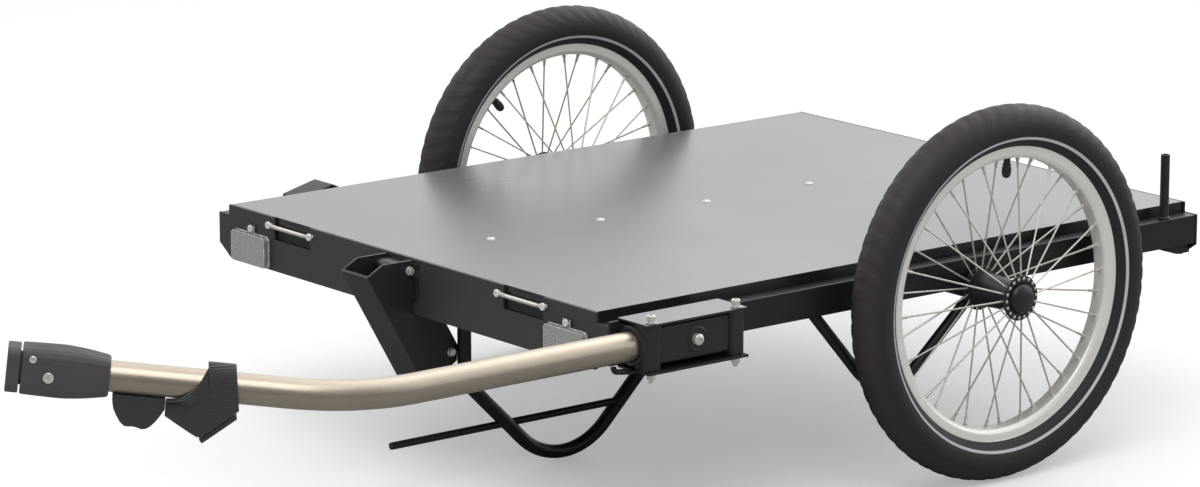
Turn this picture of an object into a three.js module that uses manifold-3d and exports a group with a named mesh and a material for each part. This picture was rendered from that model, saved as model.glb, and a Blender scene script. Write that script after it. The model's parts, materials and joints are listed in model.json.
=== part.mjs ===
// Flat-bed cargo bike trailer: folded sheet frame, side drawbar, centre pocket, drop-down stand
// and two spoked 16 inch wheels. Millimetres, +Z up, front towards -Y, drawbar side +X.
import * as THREE from 'three';
import { mergeVertices } from 'three/addons/utils/BufferGeometryUtils.js';
import Module from 'manifold-3d';

const wasm = await Module();
wasm.setup();

// Overall sizes
const rimRadius = 157.4;
const tyreHeight = 42.6;
const wheelClearance = 33.05;
const frameWidth = 677.4;
const frameFront = -498.8;
const frameRear = 324.4;
const deckRise = 44.4;

// Sides given to small round fasteners
const fastenerSides = 8;

// Fits shared by neighbouring pieces
const seatGap = 0.3;
const slideGap = 0.4;
const cutOver = 2;

// Folded sheet frame
const sheet = 2.5;
const plateSheet = 3;
const beamHeight = 31.8;
const beamWidth = 40;
const deckMargin = 20.7;
const deckThickness = 11;
const plateStep = 1.8;
const plateDepth = 48.3;
const cornerCutWide = 21.7;
const cornerCutHigh = 14.6;
const centreOffset = -6.5;
const centreBeamWidth = 36;
const memberHeight = 30;
const memberWidth = 30;
const memberWall = 2;
const midMembers = [-125, 150];
const rearTabInset = 13;
const rearTabLength = 34;
const rearTabWidth = 12;
const rearTabDrop = 12;

// Deck screws
const deckScrewBack = 118.8;
const deckScrewPitch = 148.2;
const deckScrewCount = 4;
const screwHeadRadius = 4.6;
const screwHeadHeight = 1.8;
const screwShankRadius = 2.4;
const deckScrewLength = 9;

// Wheel: rim, tyre, inner tube and spokes
const rimHalfWidth = 12;
const rimFlange = 1.7;
const rimBedDrop = 6;
const rimShoulderDrop = 10;
const rimSpokeBedDrop = 13.4;
const rimSpokeBedHalf = 7.5;
const tyreHalfWidth = 23;
const tyreWall = 3.2;
const beadInset = 0.7;
const tubeNeckInset = 4;
const wheelSteps = 40;
const innerTubeSteps = 28;
const spokesPerFlange = 18;
const spokeRadius = 1;
const spokeSides = 3;
const nippleSides = 4;
const nippleRadius = 2.1;
const nippleLength = 9;
const valveRadius = 3.6;
const valveLength = 17;
const valveCapRadius = 4.9;
const valveCapLength = 14;
const valveAngleLeft = 2.8;
const valveAngleRight = 43;

// Hub, bearings and quick-release axle, measured along the axle from the wheel's middle
const innerFlangeAt = -29.5;
const outerFlangeAt = 31.2;
const flangeThickness = 2.6;
const flangeRadius = 24;
const spokeHoleInset = 3.2;
const barrelInner = 18.5;
const barrelOuter = 15.2;
const bearingRadius = 12;
const bearingWidth = 6;
const bearingLip = 9;
const spacerStep = 1;
const buttonBoreRadius = 16;
const buttonBoreDepth = 5.2;
const axleRadius = 6;
const axleGrip = 48;
const axleCollarStep = 2.4;
const buttonRim = 2.2;
const buttonDome = 6.4;
const buttonStemRadius = 2.6;
const buttonStem = 18;
const buttonTravel = 4;
const axleTubeRadius = 14;
const axleTubeWall = 2.7;
const socketLength = 60;

// Braces that run from the side beams to the axle
const braceRadius = 6;
const braceTopBend = 22;
const braceLowBend = 60;
const braceRun = 28;
const braceTopAt = -227;
const braceLowAt = -122.4;
const braceDrop = 111.8;

// Drawbar receiver on the left side
const receiverSetback = 11.8;
const receiverLength = 129;
const receiverTopDrop = 3.1;
const receiverHeight = 50.8;
const receiverReach = 44.3;
const receiverPlateLap = 2.5;
const receiverBase = 3;
const receiverBaseLead = 12.6;
const frontPostLength = 22;
const rearPostLength = 19;
const postDepth = 17.4;
const barrelWall = 4.6;
const collarWall = 5.6;
const bossWall = 7.3;
const lockBack = 68.7;
const lockRadius = 6.1;
const lockProud = 2.2;
const lockLength = 22;
const receiverBoltRadius = 2.5;
const receiverBoltEdge = 3.8;
const receiverBoltInset = 10;
const boltHeadRadius = 4.6;
const boltHeadHeight = 6.5;
const washerRadius = 5.6;
const washerThickness = 1.4;
const nutHeight = 4.5;
const hookRadius = 3;
const hookReach = 26;
const hookInset = 10;
const hookClimb = 3;
const hookRise = 5;

// Drawbar and hitch
const tubeRadius = 15;
const tubeWall = 2.5;
const drawbarOut = 22.3;
const drawbarDrop = 27.9;
const drawbarRearInset = 4;
const drawbarRun = 323.2;
const drawbarBendRadius = 218.7;
const drawbarTurn = 33.5;
const drawbarRise = 7;
const drawbarTipReach = 330.5;
const hitchLength = 83;
const hitchRingLength = 12.4;
const hitchRingGap = 1.6;
const hitchNeckRadius = 16;
const hitchNeckReach = 6;
const hitchSquare = 5;
const hitchFlat = 21.5;
const hitchRadius = 23.4;
const hitchRingRadius = 22;
const hitchSocketRadius = 12.5;
const hitchTubeGrip = 46;
const hitchLockBack = 39.8;
const hitchLockRadius = 5.4;
const hitchLockLength = 9;
const hitchLockProud = 1.4;
const hitchLockTravel = 4;
const hitchLockDrop = 2.5;
const hitchScrewBack = 24;
const hitchScrewRise = 13.6;
const hitchScrewRadius = 3.8;
const hitchScrewLength = 6;
const hitchScrewProud = 0.6;

// Pad, strap and buckle under the drawbar
const padStart = 4;
const padLength = 50.4;
const padDepth = 32.2;
const padThickness = 14;
const strapStart = 90.8;
const strapWidth = 26.5;
const strapThickness = 2.4;
const strapLoose = 5.2;
const strapWebThickness = 6;
const strapWebLength = 64.3;
const strapWebDepth = 33.7;
const buckleLength = 41;
const buckleHeight = 5;
const buckleThickness = 30;
const buckleSlot = 4;
const buckleSlotShare = 0.66;

// Centre pocket that takes a drawbar when the trailer is drawn by hand
const pocketWidth = 47;
const pocketWall = 3;
const pocketLean = 30;
const pocketReach = 59.6;
const pocketMouthDrop = 12.3;
const pocketTopDrop = 1.4;
const pocketRimRun = 20;
const pocketFrontLength = 148.5;
const pocketSpan = 56.2;
const pocketCornerAlong = 14;
const pocketCornerAcross = 9;
const pocketFlange = 9;
const pocketFlangeDrop = 41.4;
const pocketBoltRadius = 3;
const pocketBoltHead = 4;
const pocketBoltHeadHeight = 4;
const pocketWasher = 4.9;
const upperBoltBack = 5.4;
const upperBoltDrop = 10.5;
const lowerBoltRise = 13.2;
const lowerBoltInset = 10.8;
const pocketNotch = 13;
const tongueThickness = 2.4;
const tongueRun = 23;
const tongueDepth = 40;
const tongueBend = 6;

// Reflectors and lashing bars on the front plate
const reflectorInset = 63.7;
const reflectorWidth = 64;
const reflectorHeight = 35;
const reflectorDrop = 40.6;
const reflectorBack = 1.6;
const reflectorLens = 5.6;
const reflectorBevel = 1.4;
const reflectorCorner = 3;
const reflectorTab = 13;
const reflectorTabRise = 9;
const plateScrewRadius = 3.9;
const plateScrewHeight = 2.4;
const plateShankRadius = 1.9;
const slotWidth = 65.5;
const slotInset = 104.2;
const slotDepth = 24.9;
const slotScrewBeyond = 5;
const lashRadius = 2.3;
const lashProud = 3.4;
const lashDrop = 8.6;

// Stand
const standOut = 11.5;
const standBack = 192.8;
const standSpread = 132.2;
const standRadius = 7.4;
const standLegAngle = 44.5;
const standLowBend = 80;
const standHighBend = 24;
const pivotOut = 8;
const pivotDrop = 27.9;
const standBarrelRadius = 8;
const standBarrelLength = 26;
const pivotRadius = 4;
const pivotHead = 6.5;
const pivotHeadHeight = 3;
const cheekThickness = 3;
const cheekDrop = 10.5;
const cheekBeyond = 9;
const rodRadius = 4;
const rodZ = 50.5;
const rodAhead = 229;
const rodBehind = 84;

// Flag tube, and the bracket on the right side
const flagInset = 7.2;
const flagBack = 44.4;
const flagRadius = 5;
const flagBore = 3.5;
const flagRise = 60;
const flagFoot = 6.6;
const flagFootHeight = 2;
const sideBracketBack = 109.7;
const sideBracketLength = 66;
const sideBracketReach = 36;
const sideBracketDrop = 1.4;
const sideBracketRise = 10.7;
const sideBracketPeakShare = 0.66;

// Worked out from the sizes above
const degrees = THREE.MathUtils.degToRad;
const wheelRadius = rimRadius + tyreHeight;
const rimBed = rimRadius - rimBedDrop;
const rimShoulder = rimRadius - rimShoulderDrop;
const rimSpokeBed = rimRadius - rimSpokeBedDrop;
const beadHalf = rimHalfWidth - rimFlange - beadInset;
const tubeNeckHalf = beadHalf - tubeNeckInset;
const spokeCircle = flangeRadius - spokeHoleInset;
const spacerRadius = bearingLip - spacerStep;
const axleCollarRadius = axleRadius + axleCollarStep;
const buttonRadius = buttonBoreRadius - slideGap;
const axleZ = wheelRadius;
const braceLowZ = axleZ - braceDrop;
const halfFrame = frameWidth / 2;
const wheelX = halfFrame + wheelClearance;
const deckTop = axleZ + deckRise;
const deckWidth = frameWidth - 2 * deckMargin;
const beamTop = deckTop - deckThickness;
const memberTop = beamTop - seatGap;
const memberBottom = memberTop - memberHeight;
const beamBottom = beamTop - beamHeight;
const plateBottom = beamTop - plateDepth;
const frontPlateBack = frameFront + plateSheet;
const rearPlateFront = frameRear - plateSheet;
const receiverFront = frameFront + receiverSetback;
const receiverRear = receiverFront + receiverLength;
const receiverBaseFront = receiverFront - receiverBaseLead;
const receiverTop = deckTop - receiverTopDrop;
const receiverBottom = receiverTop - receiverHeight;
const receiverOuter = halfFrame + receiverReach;
const receiverBoltX = receiverOuter - receiverBoltEdge;
const barrelHalf = tubeRadius + barrelWall;
const collarRadius = tubeRadius + collarWall;
const bossRadius = lockRadius + bossWall;
const lockAt = receiverFront + lockBack;
const drawbarX = halfFrame + drawbarOut;
const drawbarZ = deckTop - drawbarDrop;
const drawbarBendAt = frameFront - drawbarRun;
const hitchTotal = hitchLength + hitchRingGap + hitchRingLength;
const hitchYaw = -Math.PI / 2 - degrees(drawbarTurn);
const hitchPitch = degrees(drawbarRise);
const hitchDirection = new THREE.Vector3(1, 0, 0)
  .applyEuler(new THREE.Euler(0, -hitchPitch, hitchYaw, 'ZYX'));
const hitchTip = new THREE.Vector3(drawbarX, drawbarBendAt, drawbarZ)
  .addScaledVector(hitchDirection, drawbarTipReach);

const root = new THREE.Group();

// Colours and finishes
const finish = (color, roughness, metalness) =>
  new THREE.MeshStandardMaterial({ color, roughness, metalness });
const powderBlack = finish(0x2a2624, 0.45, 0.3);
const deckGrey = finish(0x55585b, 0.35, 0);
const plasticBlack = finish(0x232326, 0.55, 0);
const rubberBlack = finish(0x2a2727, 0.8, 0);
const steel = finish(0xc9c8c4, 0.3, 1);
const rimSilver = finish(0xd9d6cf, 0.35, 0.9);
const tubeSilver = finish(0xcbb89c, 0.35, 0.9);
const lensClear = finish(0xd6d6d2, 0.15, 0);
const webbing = finish(0x151517, 0.9, 0);

// A named mesh in a group
function piece(name, geometry, material, parent = root) {
  const mesh = new THREE.Mesh(geometry, material);
  mesh.name = name;
  parent.add(mesh);
  return mesh;
}

// Solids for cuts and joins
function toSolid(geometry) {
  const bare = geometry.clone();
  bare.deleteAttribute('normal');
  bare.deleteAttribute('uv');
  const merged = mergeVertices(bare);
  return new wasm.Manifold(new wasm.Mesh({
    numProp: 3,
    vertProperties: new Float32Array(merged.attributes.position.array),
    triVerts: new Uint32Array(merged.index.array)
  }));
}

function toGeometry(solid) {
  const mesh = solid.getMesh();
  const geometry = new THREE.BufferGeometry();
  geometry.setAttribute('position', new THREE.BufferAttribute(new Float32Array(mesh.vertProperties), 3));
  geometry.setIndex(new THREE.BufferAttribute(new Uint32Array(mesh.triVerts), 1));
  geometry.computeVertexNormals();
  return geometry;
}

function cut(geometry, ...tools) {
  let solid = toSolid(geometry);
  for (const tool of tools) solid = solid.subtract(toSolid(tool));
  return toGeometry(solid);
}

function join(...geometries) {
  let solid = toSolid(geometries[0]);
  for (const other of geometries.slice(1)) solid = solid.add(toSolid(other));
  return toGeometry(solid);
}

// A box from its lowest to its highest corner
function slab(x0, y0, z0, x1, y1, z1) {
  const box = new THREE.BoxGeometry(x1 - x0, y1 - y0, z1 - z0);
  return box.translate((x0 + x1) / 2, (y0 + y1) / 2, (z0 + z1) / 2);
}

// A rod between two points
function rod(from, to, radius, sides = 12) {
  const a = new THREE.Vector3(...from);
  const b = new THREE.Vector3(...to);
  const along = b.clone().sub(a);
  const geometry = new THREE.CylinderGeometry(radius, radius, along.length(), sides);
  const turn = new THREE.Quaternion()
    .setFromUnitVectors(new THREE.Vector3(0, 1, 0), along.clone().normalize());
  geometry.applyQuaternion(turn);
  const middle = a.add(b).multiplyScalar(1 / 2);
  return geometry.translate(middle.x, middle.y, middle.z);
}

// An outline of [x, z] points, given thickness along +Y from a start
function platedXZ(points, yStart, thickness) {
  const shape = new THREE.Shape(points.map(([x, z]) => new THREE.Vector2(x, z)));
  const geometry = new THREE.ExtrudeGeometry(shape, { depth: thickness, bevelEnabled: false });
  geometry.rotateX(Math.PI / 2);
  return geometry.translate(0, yStart + thickness, 0);
}

// An outline of [y, z] points, given width along +X from a start
function platedYZ(points, xStart, width) {
  const shape = new THREE.Shape(points.map(([y, z]) => new THREE.Vector2(y, z)));
  const geometry = new THREE.ExtrudeGeometry(shape, { depth: width, bevelEnabled: false });
  geometry.rotateX(Math.PI / 2).rotateZ(Math.PI / 2);
  return geometry.translate(xStart, 0, 0);
}

// A profile of [along, radius] points spun about the X axis, its outer side listed towards +X
function spun(profile, steps) {
  const points = profile.map(([at, radius]) => new THREE.Vector2(radius, -at)).reverse();
  const geometry = new THREE.LatheGeometry(points, steps);
  return geometry.rotateZ(Math.PI / 2);
}

// A path of straight runs with rounded corners
class RoundedPath extends THREE.Curve {
  constructor(corners, radii, stepAngle = Math.PI / 11) {
    super();
    this.places = [corners[0].clone()];
    radii.forEach((radius, i) => this.turnAt(corners, i + 1, radius, stepAngle));
    this.places.push(corners[corners.length - 1].clone());
    this.steps = this.places.length - 1;
  }

  turnAt(corners, index, radius, stepAngle) {
    const corner = corners[index];
    const back = corners[index - 1].clone().sub(corner).normalize();
    const ahead = corners[index + 1].clone().sub(corner).normalize();
    const turned = Math.PI - back.angleTo(ahead);
    const inward = back.clone().add(ahead).normalize();
    const centre = corner.clone().addScaledVector(inward, radius / Math.cos(turned / 2));
    const start = corner.clone().addScaledVector(back, radius * Math.tan(turned / 2)).sub(centre);
    const axis = ahead.clone().cross(back).normalize();
    const steps = Math.max(2, Math.ceil(turned / stepAngle));
    for (let k = 0; k <= steps; k += 1) {
      this.places.push(start.clone().applyAxisAngle(axis, turned * k / steps).add(centre));
    }
  }

  getPoint(t, target = new THREE.Vector3()) {
    const at = Math.min(t * this.steps, this.steps);
    const index = Math.min(Math.floor(at), this.steps - 1);
    return target.copy(this.places[index]).lerp(this.places[index + 1], at - index);
  }

  getPointAt(u, target) {
    return this.getPoint(u, target);
  }

  getTangentAt(u, target = new THREE.Vector3()) {
    const index = Math.round(u * this.steps);
    const here = this.places[index];
    const before = this.places[Math.max(index - 1, 0)];
    const after = this.places[Math.min(index + 1, this.steps)];
    const into = here.clone().sub(before).normalize();
    const out = after.clone().sub(here).normalize();
    return target.copy(into).add(out).normalize();
  }

  getTangent(t, target) {
    return this.getTangentAt(t, target);
  }
}

// A round bar or tube along a path
function tubing(path, radius, halfSides = 5, bore = 0) {
  const shape = new THREE.Shape().absarc(0, 0, radius, 0, Math.PI * 2);
  if (bore > 0) shape.holes.push(new THREE.Path().absarc(0, 0, bore, 0, Math.PI * 2));
  return new THREE.ExtrudeGeometry(shape, {
    steps: path.steps, curveSegments: halfSides, bevelEnabled: false, extrudePath: path
  });
}

// A round-headed screw pointing along +Y, the underside of its head at the origin
function roundHeaded(headRadius, headHeight, shankRadius, shankLength) {
  return new THREE.LatheGeometry([
    new THREE.Vector2(0, -headHeight),
    new THREE.Vector2(headRadius * 0.62, -headHeight * 0.86),
    new THREE.Vector2(headRadius, -headHeight * 0.3),
    new THREE.Vector2(headRadius, 0),
    new THREE.Vector2(shankRadius, 0),
    new THREE.Vector2(shankRadius, shankLength),
    new THREE.Vector2(0, shankLength)
  ], fastenerSides);
}

// Deck panel and its screws, each head in a shallow seat
const deckScrewYs = Array.from(
  { length: deckScrewCount }, (_, i) => frameFront + deckScrewBack + i * deckScrewPitch
);
const deckHoles = deckScrewYs.map((y) => rod(
  [centreOffset, y, beamTop - cutOver],
  [centreOffset, y, deckTop + cutOver],
  screwShankRadius + seatGap,
  10
));
const deckSeats = deckScrewYs.map((y) => rod(
  [centreOffset, y, deckTop - seatGap],
  [centreOffset, y, deckTop + cutOver],
  screwHeadRadius + seatGap,
  10
));
piece('deck_panel', cut(
  slab(-deckWidth / 2, frontPlateBack + seatGap, beamTop, deckWidth / 2, rearPlateFront - seatGap, deckTop),
  ...deckHoles, ...deckSeats
), deckGrey);
deckScrewYs.forEach((y, i) => {
  const screw = roundHeaded(screwHeadRadius, screwHeadHeight, screwShankRadius, deckScrewLength);
  piece(`deck_screw_${i + 1}`, screw.rotateX(-Math.PI / 2).translate(centreOffset, y, deckTop), steel);
});

// End plates share one outline, stepped down past the deck and cut off at the lower corners
const halfStep = deckWidth / 2 + plateStep;
const plateOutline = [
  [-halfFrame, plateBottom + cornerCutHigh], [-halfFrame + cornerCutWide, plateBottom],
  [halfFrame - cornerCutWide, plateBottom], [halfFrame, plateBottom + cornerCutHigh],
  [halfFrame, beamTop], [halfStep, beamTop], [halfStep, deckTop],
  [-halfStep, deckTop], [-halfStep, beamTop], [-halfFrame, beamTop]
];
const slotOuter = halfFrame - slotInset;
const slotInner = slotOuter - slotWidth;
const slotBottom = deckTop - slotDepth;
const lashZ = deckTop - lashDrop;
const reflectorAt = halfFrame - reflectorInset;
const reflectorZ = deckTop - reflectorDrop;
const slotScrewXs = [slotInner - slotScrewBeyond, slotOuter + slotScrewBeyond];
const reflectorScrewZ = reflectorZ + reflectorHeight / 2 + reflectorTabRise / 2;
const plateHoles = [-1, 1].flatMap((side) => [
  ...slotScrewXs.map((x) => [side * x, lashZ]),
  [side * reflectorAt, reflectorScrewZ]
]).map(([x, z]) => rod(
  [x, frameFront - cutOver, z],
  [x, frontPlateBack + cutOver, z],
  plateShankRadius + seatGap,
  8
));
const slots = [-1, 1].map((side) => slab(
  Math.min(side * slotInner, side * slotOuter), frameFront - cutOver, slotBottom,
  Math.max(side * slotInner, side * slotOuter), frontPlateBack + cutOver, deckTop + cutOver
));
const pocketRightX = centreOffset - pocketWidth / 2;
const pocketLeftX = pocketRightX + pocketWidth;
const pocketClearance = slab(
  pocketRightX + pocketWall, frameFront - cutOver, plateBottom - cutOver,
  pocketLeftX - pocketWall, frontPlateBack + cutOver, plateBottom + pocketNotch
);
piece('front_plate', cut(
  platedXZ(plateOutline, frameFront, plateSheet), ...slots, ...plateHoles, pocketClearance
), powderBlack);

// Rear plate with a small tab folded forward under the left beam
const rearTabX = halfFrame - cornerCutWide;
piece('rear_plate', join(
  platedXZ(plateOutline, rearPlateFront, plateSheet),
  platedYZ([
    [rearPlateFront - rearTabLength, beamBottom - rearTabInset / 2],
    [rearPlateFront - rearTabLength / 2, beamBottom - rearTabDrop],
    [rearPlateFront + plateSheet / 2, beamBottom - rearTabDrop],
    [rearPlateFront + plateSheet / 2, beamBottom - seatGap],
    [rearPlateFront - rearTabLength, beamBottom - seatGap]
  ], rearTabX, rearTabWidth)
), powderBlack);

// Side beams, folded channels open below and notched over the axle tube
function channel(side) {
  const inner = halfFrame - beamWidth;
  const profile = [
    [halfFrame, beamBottom], [halfFrame, memberTop], [inner, memberTop], [inner, beamBottom],
    [inner + sheet, beamBottom], [inner + sheet, memberTop - sheet],
    [halfFrame - sheet, memberTop - sheet], [halfFrame - sheet, beamBottom]
  ].map(([x, z]) => [side * x, z]);
  const length = rearPlateFront - frontPlateBack - 2 * seatGap;
  return platedXZ(profile, frontPlateBack + seatGap, length);
}

const axleNotch = rod(
  [-halfFrame - cutOver, 0, axleZ],
  [halfFrame + cutOver, 0, axleZ],
  axleTubeRadius + seatGap,
  20
);
piece('side_beam_left', cut(channel(1), axleNotch), powderBlack);
piece('side_beam_right', cut(channel(-1), axleNotch), powderBlack);

// Welded underframe: square cross members and centre beam, axle tube with a socket at each end,
// and the cheeks that carry the stand
const insideHalf = halfFrame - beamWidth - seatGap;
const frontMemberY = frontPlateBack + seatGap + memberWidth / 2;
const rearMemberY = rearPlateFront - seatGap - memberWidth / 2;
const memberYs = [frontMemberY, ...midMembers, rearMemberY];
const member = (y, half, wall) => slab(
  -half, y - memberWidth / 2 + wall, memberBottom + wall, half, y + memberWidth / 2 - wall, memberTop - wall
);
const centreBeamLeft = centreOffset + centreBeamWidth / 2;
const centreBeam = (wall) => slab(
  centreBeamLeft - centreBeamWidth + wall, frontMemberY, memberBottom + wall,
  centreBeamLeft - wall, rearMemberY, memberTop - wall
);
const squareTubes = cut(
  join(...memberYs.map((y) => member(y, insideHalf, 0)), centreBeam(0)),
  ...memberYs.map((y) => member(y, insideHalf + cutOver, memberWall)),
  centreBeam(memberWall)
);
const axleTubeEnd = halfFrame - seatGap;
const axleTubeBore = axleTubeRadius - axleTubeWall;
const axleTube = spun([
  [-axleTubeEnd, 0], [-axleTubeEnd, axleTubeRadius], [axleTubeEnd, axleTubeRadius], [axleTubeEnd, 0]
], 20).translate(0, 0, axleZ);
const socketInner = axleTubeEnd - socketLength;
const axleTubeHoles = [
  rod([-socketInner, 0, axleZ], [socketInner, 0, axleZ], axleTubeBore, 16),
  rod([-halfFrame, 0, axleZ], [halfFrame, 0, axleZ], axleRadius + seatGap, 16)
];
const standPlaneX = centreBeamLeft + standOut;
const standPivotX = standPlaneX + pivotOut;
const standPivotZ = deckTop - pivotDrop;
const standAt = frameFront + standBack;
const standPivotYs = [standAt - standSpread, standAt + standSpread];
const cheekTop = standPivotZ + standBarrelRadius + cheekThickness;
const cheeks = standPivotYs.flatMap((y) => [-1, 1].map((side) => {
  const inner = y + side * (standBarrelLength / 2 + slideGap);
  const outer = inner + side * cheekThickness;
  return slab(
    centreBeamLeft - cheekThickness, Math.min(inner, outer), standPivotZ - cheekDrop,
    standPivotX + cheekBeyond, Math.max(inner, outer), cheekTop
  );
}));
const cheekHoles = standPivotYs.map((y) => rod(
  [standPivotX, y - standBarrelLength, standPivotZ],
  [standPivotX, y + standBarrelLength, standPivotZ],
  pivotRadius + seatGap,
  12
));
const centreScrewHoles = deckScrewYs.map((y) => rod(
  [centreOffset, y, memberTop - deckScrewLength],
  [centreOffset, y, memberTop + cutOver],
  screwShankRadius + seatGap,
  8
));
piece('underframe', cut(
  join(squareTubes, axleTube, ...cheeks), ...axleTubeHoles, ...cheekHoles, ...centreScrewHoles
), powderBlack);

// Bent braces between the side beams and the axle tube
const braceX = halfFrame - sheet - seatGap - braceRadius;
const braceTopZ = beamBottom + braceRadius;
for (const [side, sign] of [['left', 1], ['right', -1]]) {
  const at = (y, z) => new THREE.Vector3(sign * braceX, y, z);
  const path = new RoundedPath([
    at(braceTopAt - braceRun, braceTopZ), at(braceTopAt, braceTopZ),
    at(braceLowAt, braceLowZ), at(0, axleZ - axleTubeRadius / 2)
  ], [braceTopBend, braceLowBend]);
  piece(`axle_brace_${side}`, cut(tubing(path, braceRadius), axleNotch), powderBlack);
}

// Reflectors with a screw tab above
function roundedOutline(width, height, corner) {
  const [w, h] = [width / 2, height / 2];
  return [
    [-w, -h + corner], [-w + corner, -h], [w - corner, -h], [w, -h + corner],
    [w, h - corner], [w - corner, h], [-w + corner, h], [-w, h - corner]
  ];
}

for (const [side, sign] of [['left', 1], ['right', -1]]) {
  const centreX = sign * reflectorAt;
  const outline = (inset) => roundedOutline(
    reflectorWidth - inset, reflectorHeight - inset, reflectorCorner
  ).map(([x, z]) => [centreX + x, reflectorZ + z]);
  const front = frameFront - seatGap - reflectorBack;
  const tabTop = reflectorZ + reflectorHeight / 2 + reflectorTabRise;
  const tab = slab(
    centreX - reflectorTab / 2, front, reflectorZ, centreX + reflectorTab / 2, front + reflectorBack, tabTop
  );
  const hole = rod(
    [centreX, front - cutOver, reflectorScrewZ],
    [centreX, front + reflectorBack + cutOver, reflectorScrewZ],
    plateShankRadius + seatGap,
    8
  );
  piece(`reflector_${side}`, cut(join(
    platedXZ(outline(0), front, reflectorBack),
    platedXZ(outline(reflectorBevel), front - reflectorLens, reflectorLens),
    tab
  ), hole), lensClear);
  piece(`reflector_screw_${side}`, roundHeaded(
    plateScrewRadius, plateScrewHeight, plateShankRadius, plateSheet + reflectorBack
  ).translate(centreX, front - seatGap, reflectorScrewZ), steel);

  // Lashing bar across the slot, with the two screws that hold its ends
  const barY = frameFront - seatGap - lashProud;
  const screws = slotScrewXs.map((x) => roundHeaded(
    plateScrewRadius, plateScrewHeight, plateShankRadius, lashProud + plateSheet
  ).translate(sign * x, barY, lashZ));
  const bar = rod([sign * slotScrewXs[0], barY, lashZ], [sign * slotScrewXs[1], barY, lashZ], lashRadius, 8);
  piece(`lashing_bar_${side}`, join(bar, ...screws), steel);
}

// Drawbar receiver: moulded body between two sheet plates
const receiverInner = halfFrame + seatGap;
const bodyLow = receiverBottom + sheet + seatGap;
const bodyHigh = receiverTop - sheet - seatGap;
const postStart = receiverOuter - postDepth;
const boltYs = [receiverFront + receiverBoltInset, receiverRear - receiverBoltInset];
const along = (x, z, radius, from, to, sides) => rod([x, from, z], [x, to, z], radius, sides);
const boltHoles = boltYs.map((y) => rod(
  [receiverBoltX, y, receiverBottom - cutOver],
  [receiverBoltX, y, receiverTop + cutOver],
  receiverBoltRadius + seatGap,
  10
));
const drawbarBore = along(
  drawbarX, drawbarZ, tubeRadius + slideGap, receiverBaseFront - cutOver, receiverRear + cutOver, 24
);
const lockHole = rod(
  [drawbarX, lockAt, drawbarZ], [receiverOuter + cutOver, lockAt, drawbarZ], lockRadius + slideGap, 16
);
const receiverBody = join(
  slab(
    receiverInner + receiverBase, receiverFront, drawbarZ - barrelHalf,
    drawbarX + barrelHalf, receiverRear, drawbarZ + barrelHalf
  ),
  slab(
    receiverInner, receiverBaseFront, bodyLow, receiverInner + receiverBase + seatGap, receiverRear, bodyHigh
  ),
  slab(receiverInner, receiverFront, bodyLow, receiverOuter, receiverFront + frontPostLength, bodyHigh),
  slab(postStart, receiverRear - rearPostLength, bodyLow, receiverOuter, receiverRear, bodyHigh),
  rod([drawbarX, lockAt, drawbarZ], [receiverOuter - seatGap, lockAt, drawbarZ], bossRadius, 20),
  along(drawbarX, drawbarZ, collarRadius, receiverFront - cutOver, receiverFront + cutOver, 24)
);
piece('receiver_body', cut(receiverBody, drawbarBore, lockHole, ...boltHoles), plasticBlack);
piece('receiver_top_plate', cut(slab(
  receiverInner, receiverFront, receiverTop - sheet,
  receiverOuter + receiverPlateLap, receiverRear, receiverTop
), ...boltHoles), powderBlack);

// Lower plate, with a hook bent down in front of the receiver
const hookX = receiverInner + hookReach;
const hookY = receiverFront - hookReach;
const hookZ = receiverBottom + sheet / 2;
const hookTab = slab(
  hookX - hookInset / 2, receiverFront - hookInset, receiverBottom,
  hookX + hookInset / 2, receiverFront + hookInset, receiverBottom + sheet
);
const hook = tubing(new RoundedPath([
  new THREE.Vector3(hookX, receiverFront - hookInset / 2, hookZ),
  new THREE.Vector3(hookX, hookY, hookZ + hookClimb),
  new THREE.Vector3(hookX, hookY, hookZ + hookClimb + hookRise)
], [hookRadius * 1.5]), hookRadius, 4);
piece('receiver_bottom_plate', cut(join(slab(
  receiverInner, receiverFront, receiverBottom,
  receiverOuter + 2 * receiverPlateLap, receiverRear, receiverBottom + sheet
), hookTab, hook), ...boltHoles), powderBlack);

// Bolts through the receiver, each with washers and a nut
boltYs.forEach((y, i) => {
  const top = receiverTop + seatGap;
  const foot = receiverBottom - seatGap;
  const stack = [
    [0, foot - washerThickness - nutHeight * 1.6],
    [receiverBoltRadius, foot - washerThickness - nutHeight * 1.6],
    [receiverBoltRadius, foot - washerThickness - nutHeight],
    [boltHeadRadius, foot - washerThickness - nutHeight], [boltHeadRadius, foot - washerThickness],
    [washerRadius, foot - washerThickness], [washerRadius, foot],
    [receiverBoltRadius, foot], [receiverBoltRadius, top], [washerRadius, top],
    [washerRadius, top + washerThickness], [boltHeadRadius, top + washerThickness],
    [boltHeadRadius, top + washerThickness + boltHeadHeight], [0, top + washerThickness + boltHeadHeight]
  ].map(([radius, z]) => new THREE.Vector2(radius, z));
  const bolt = new THREE.LatheGeometry(stack, fastenerSides).rotateX(Math.PI / 2);
  piece(`receiver_bolt_${['front', 'rear'][i]}`, bolt.translate(receiverBoltX, y, 0), steel);
});

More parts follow.
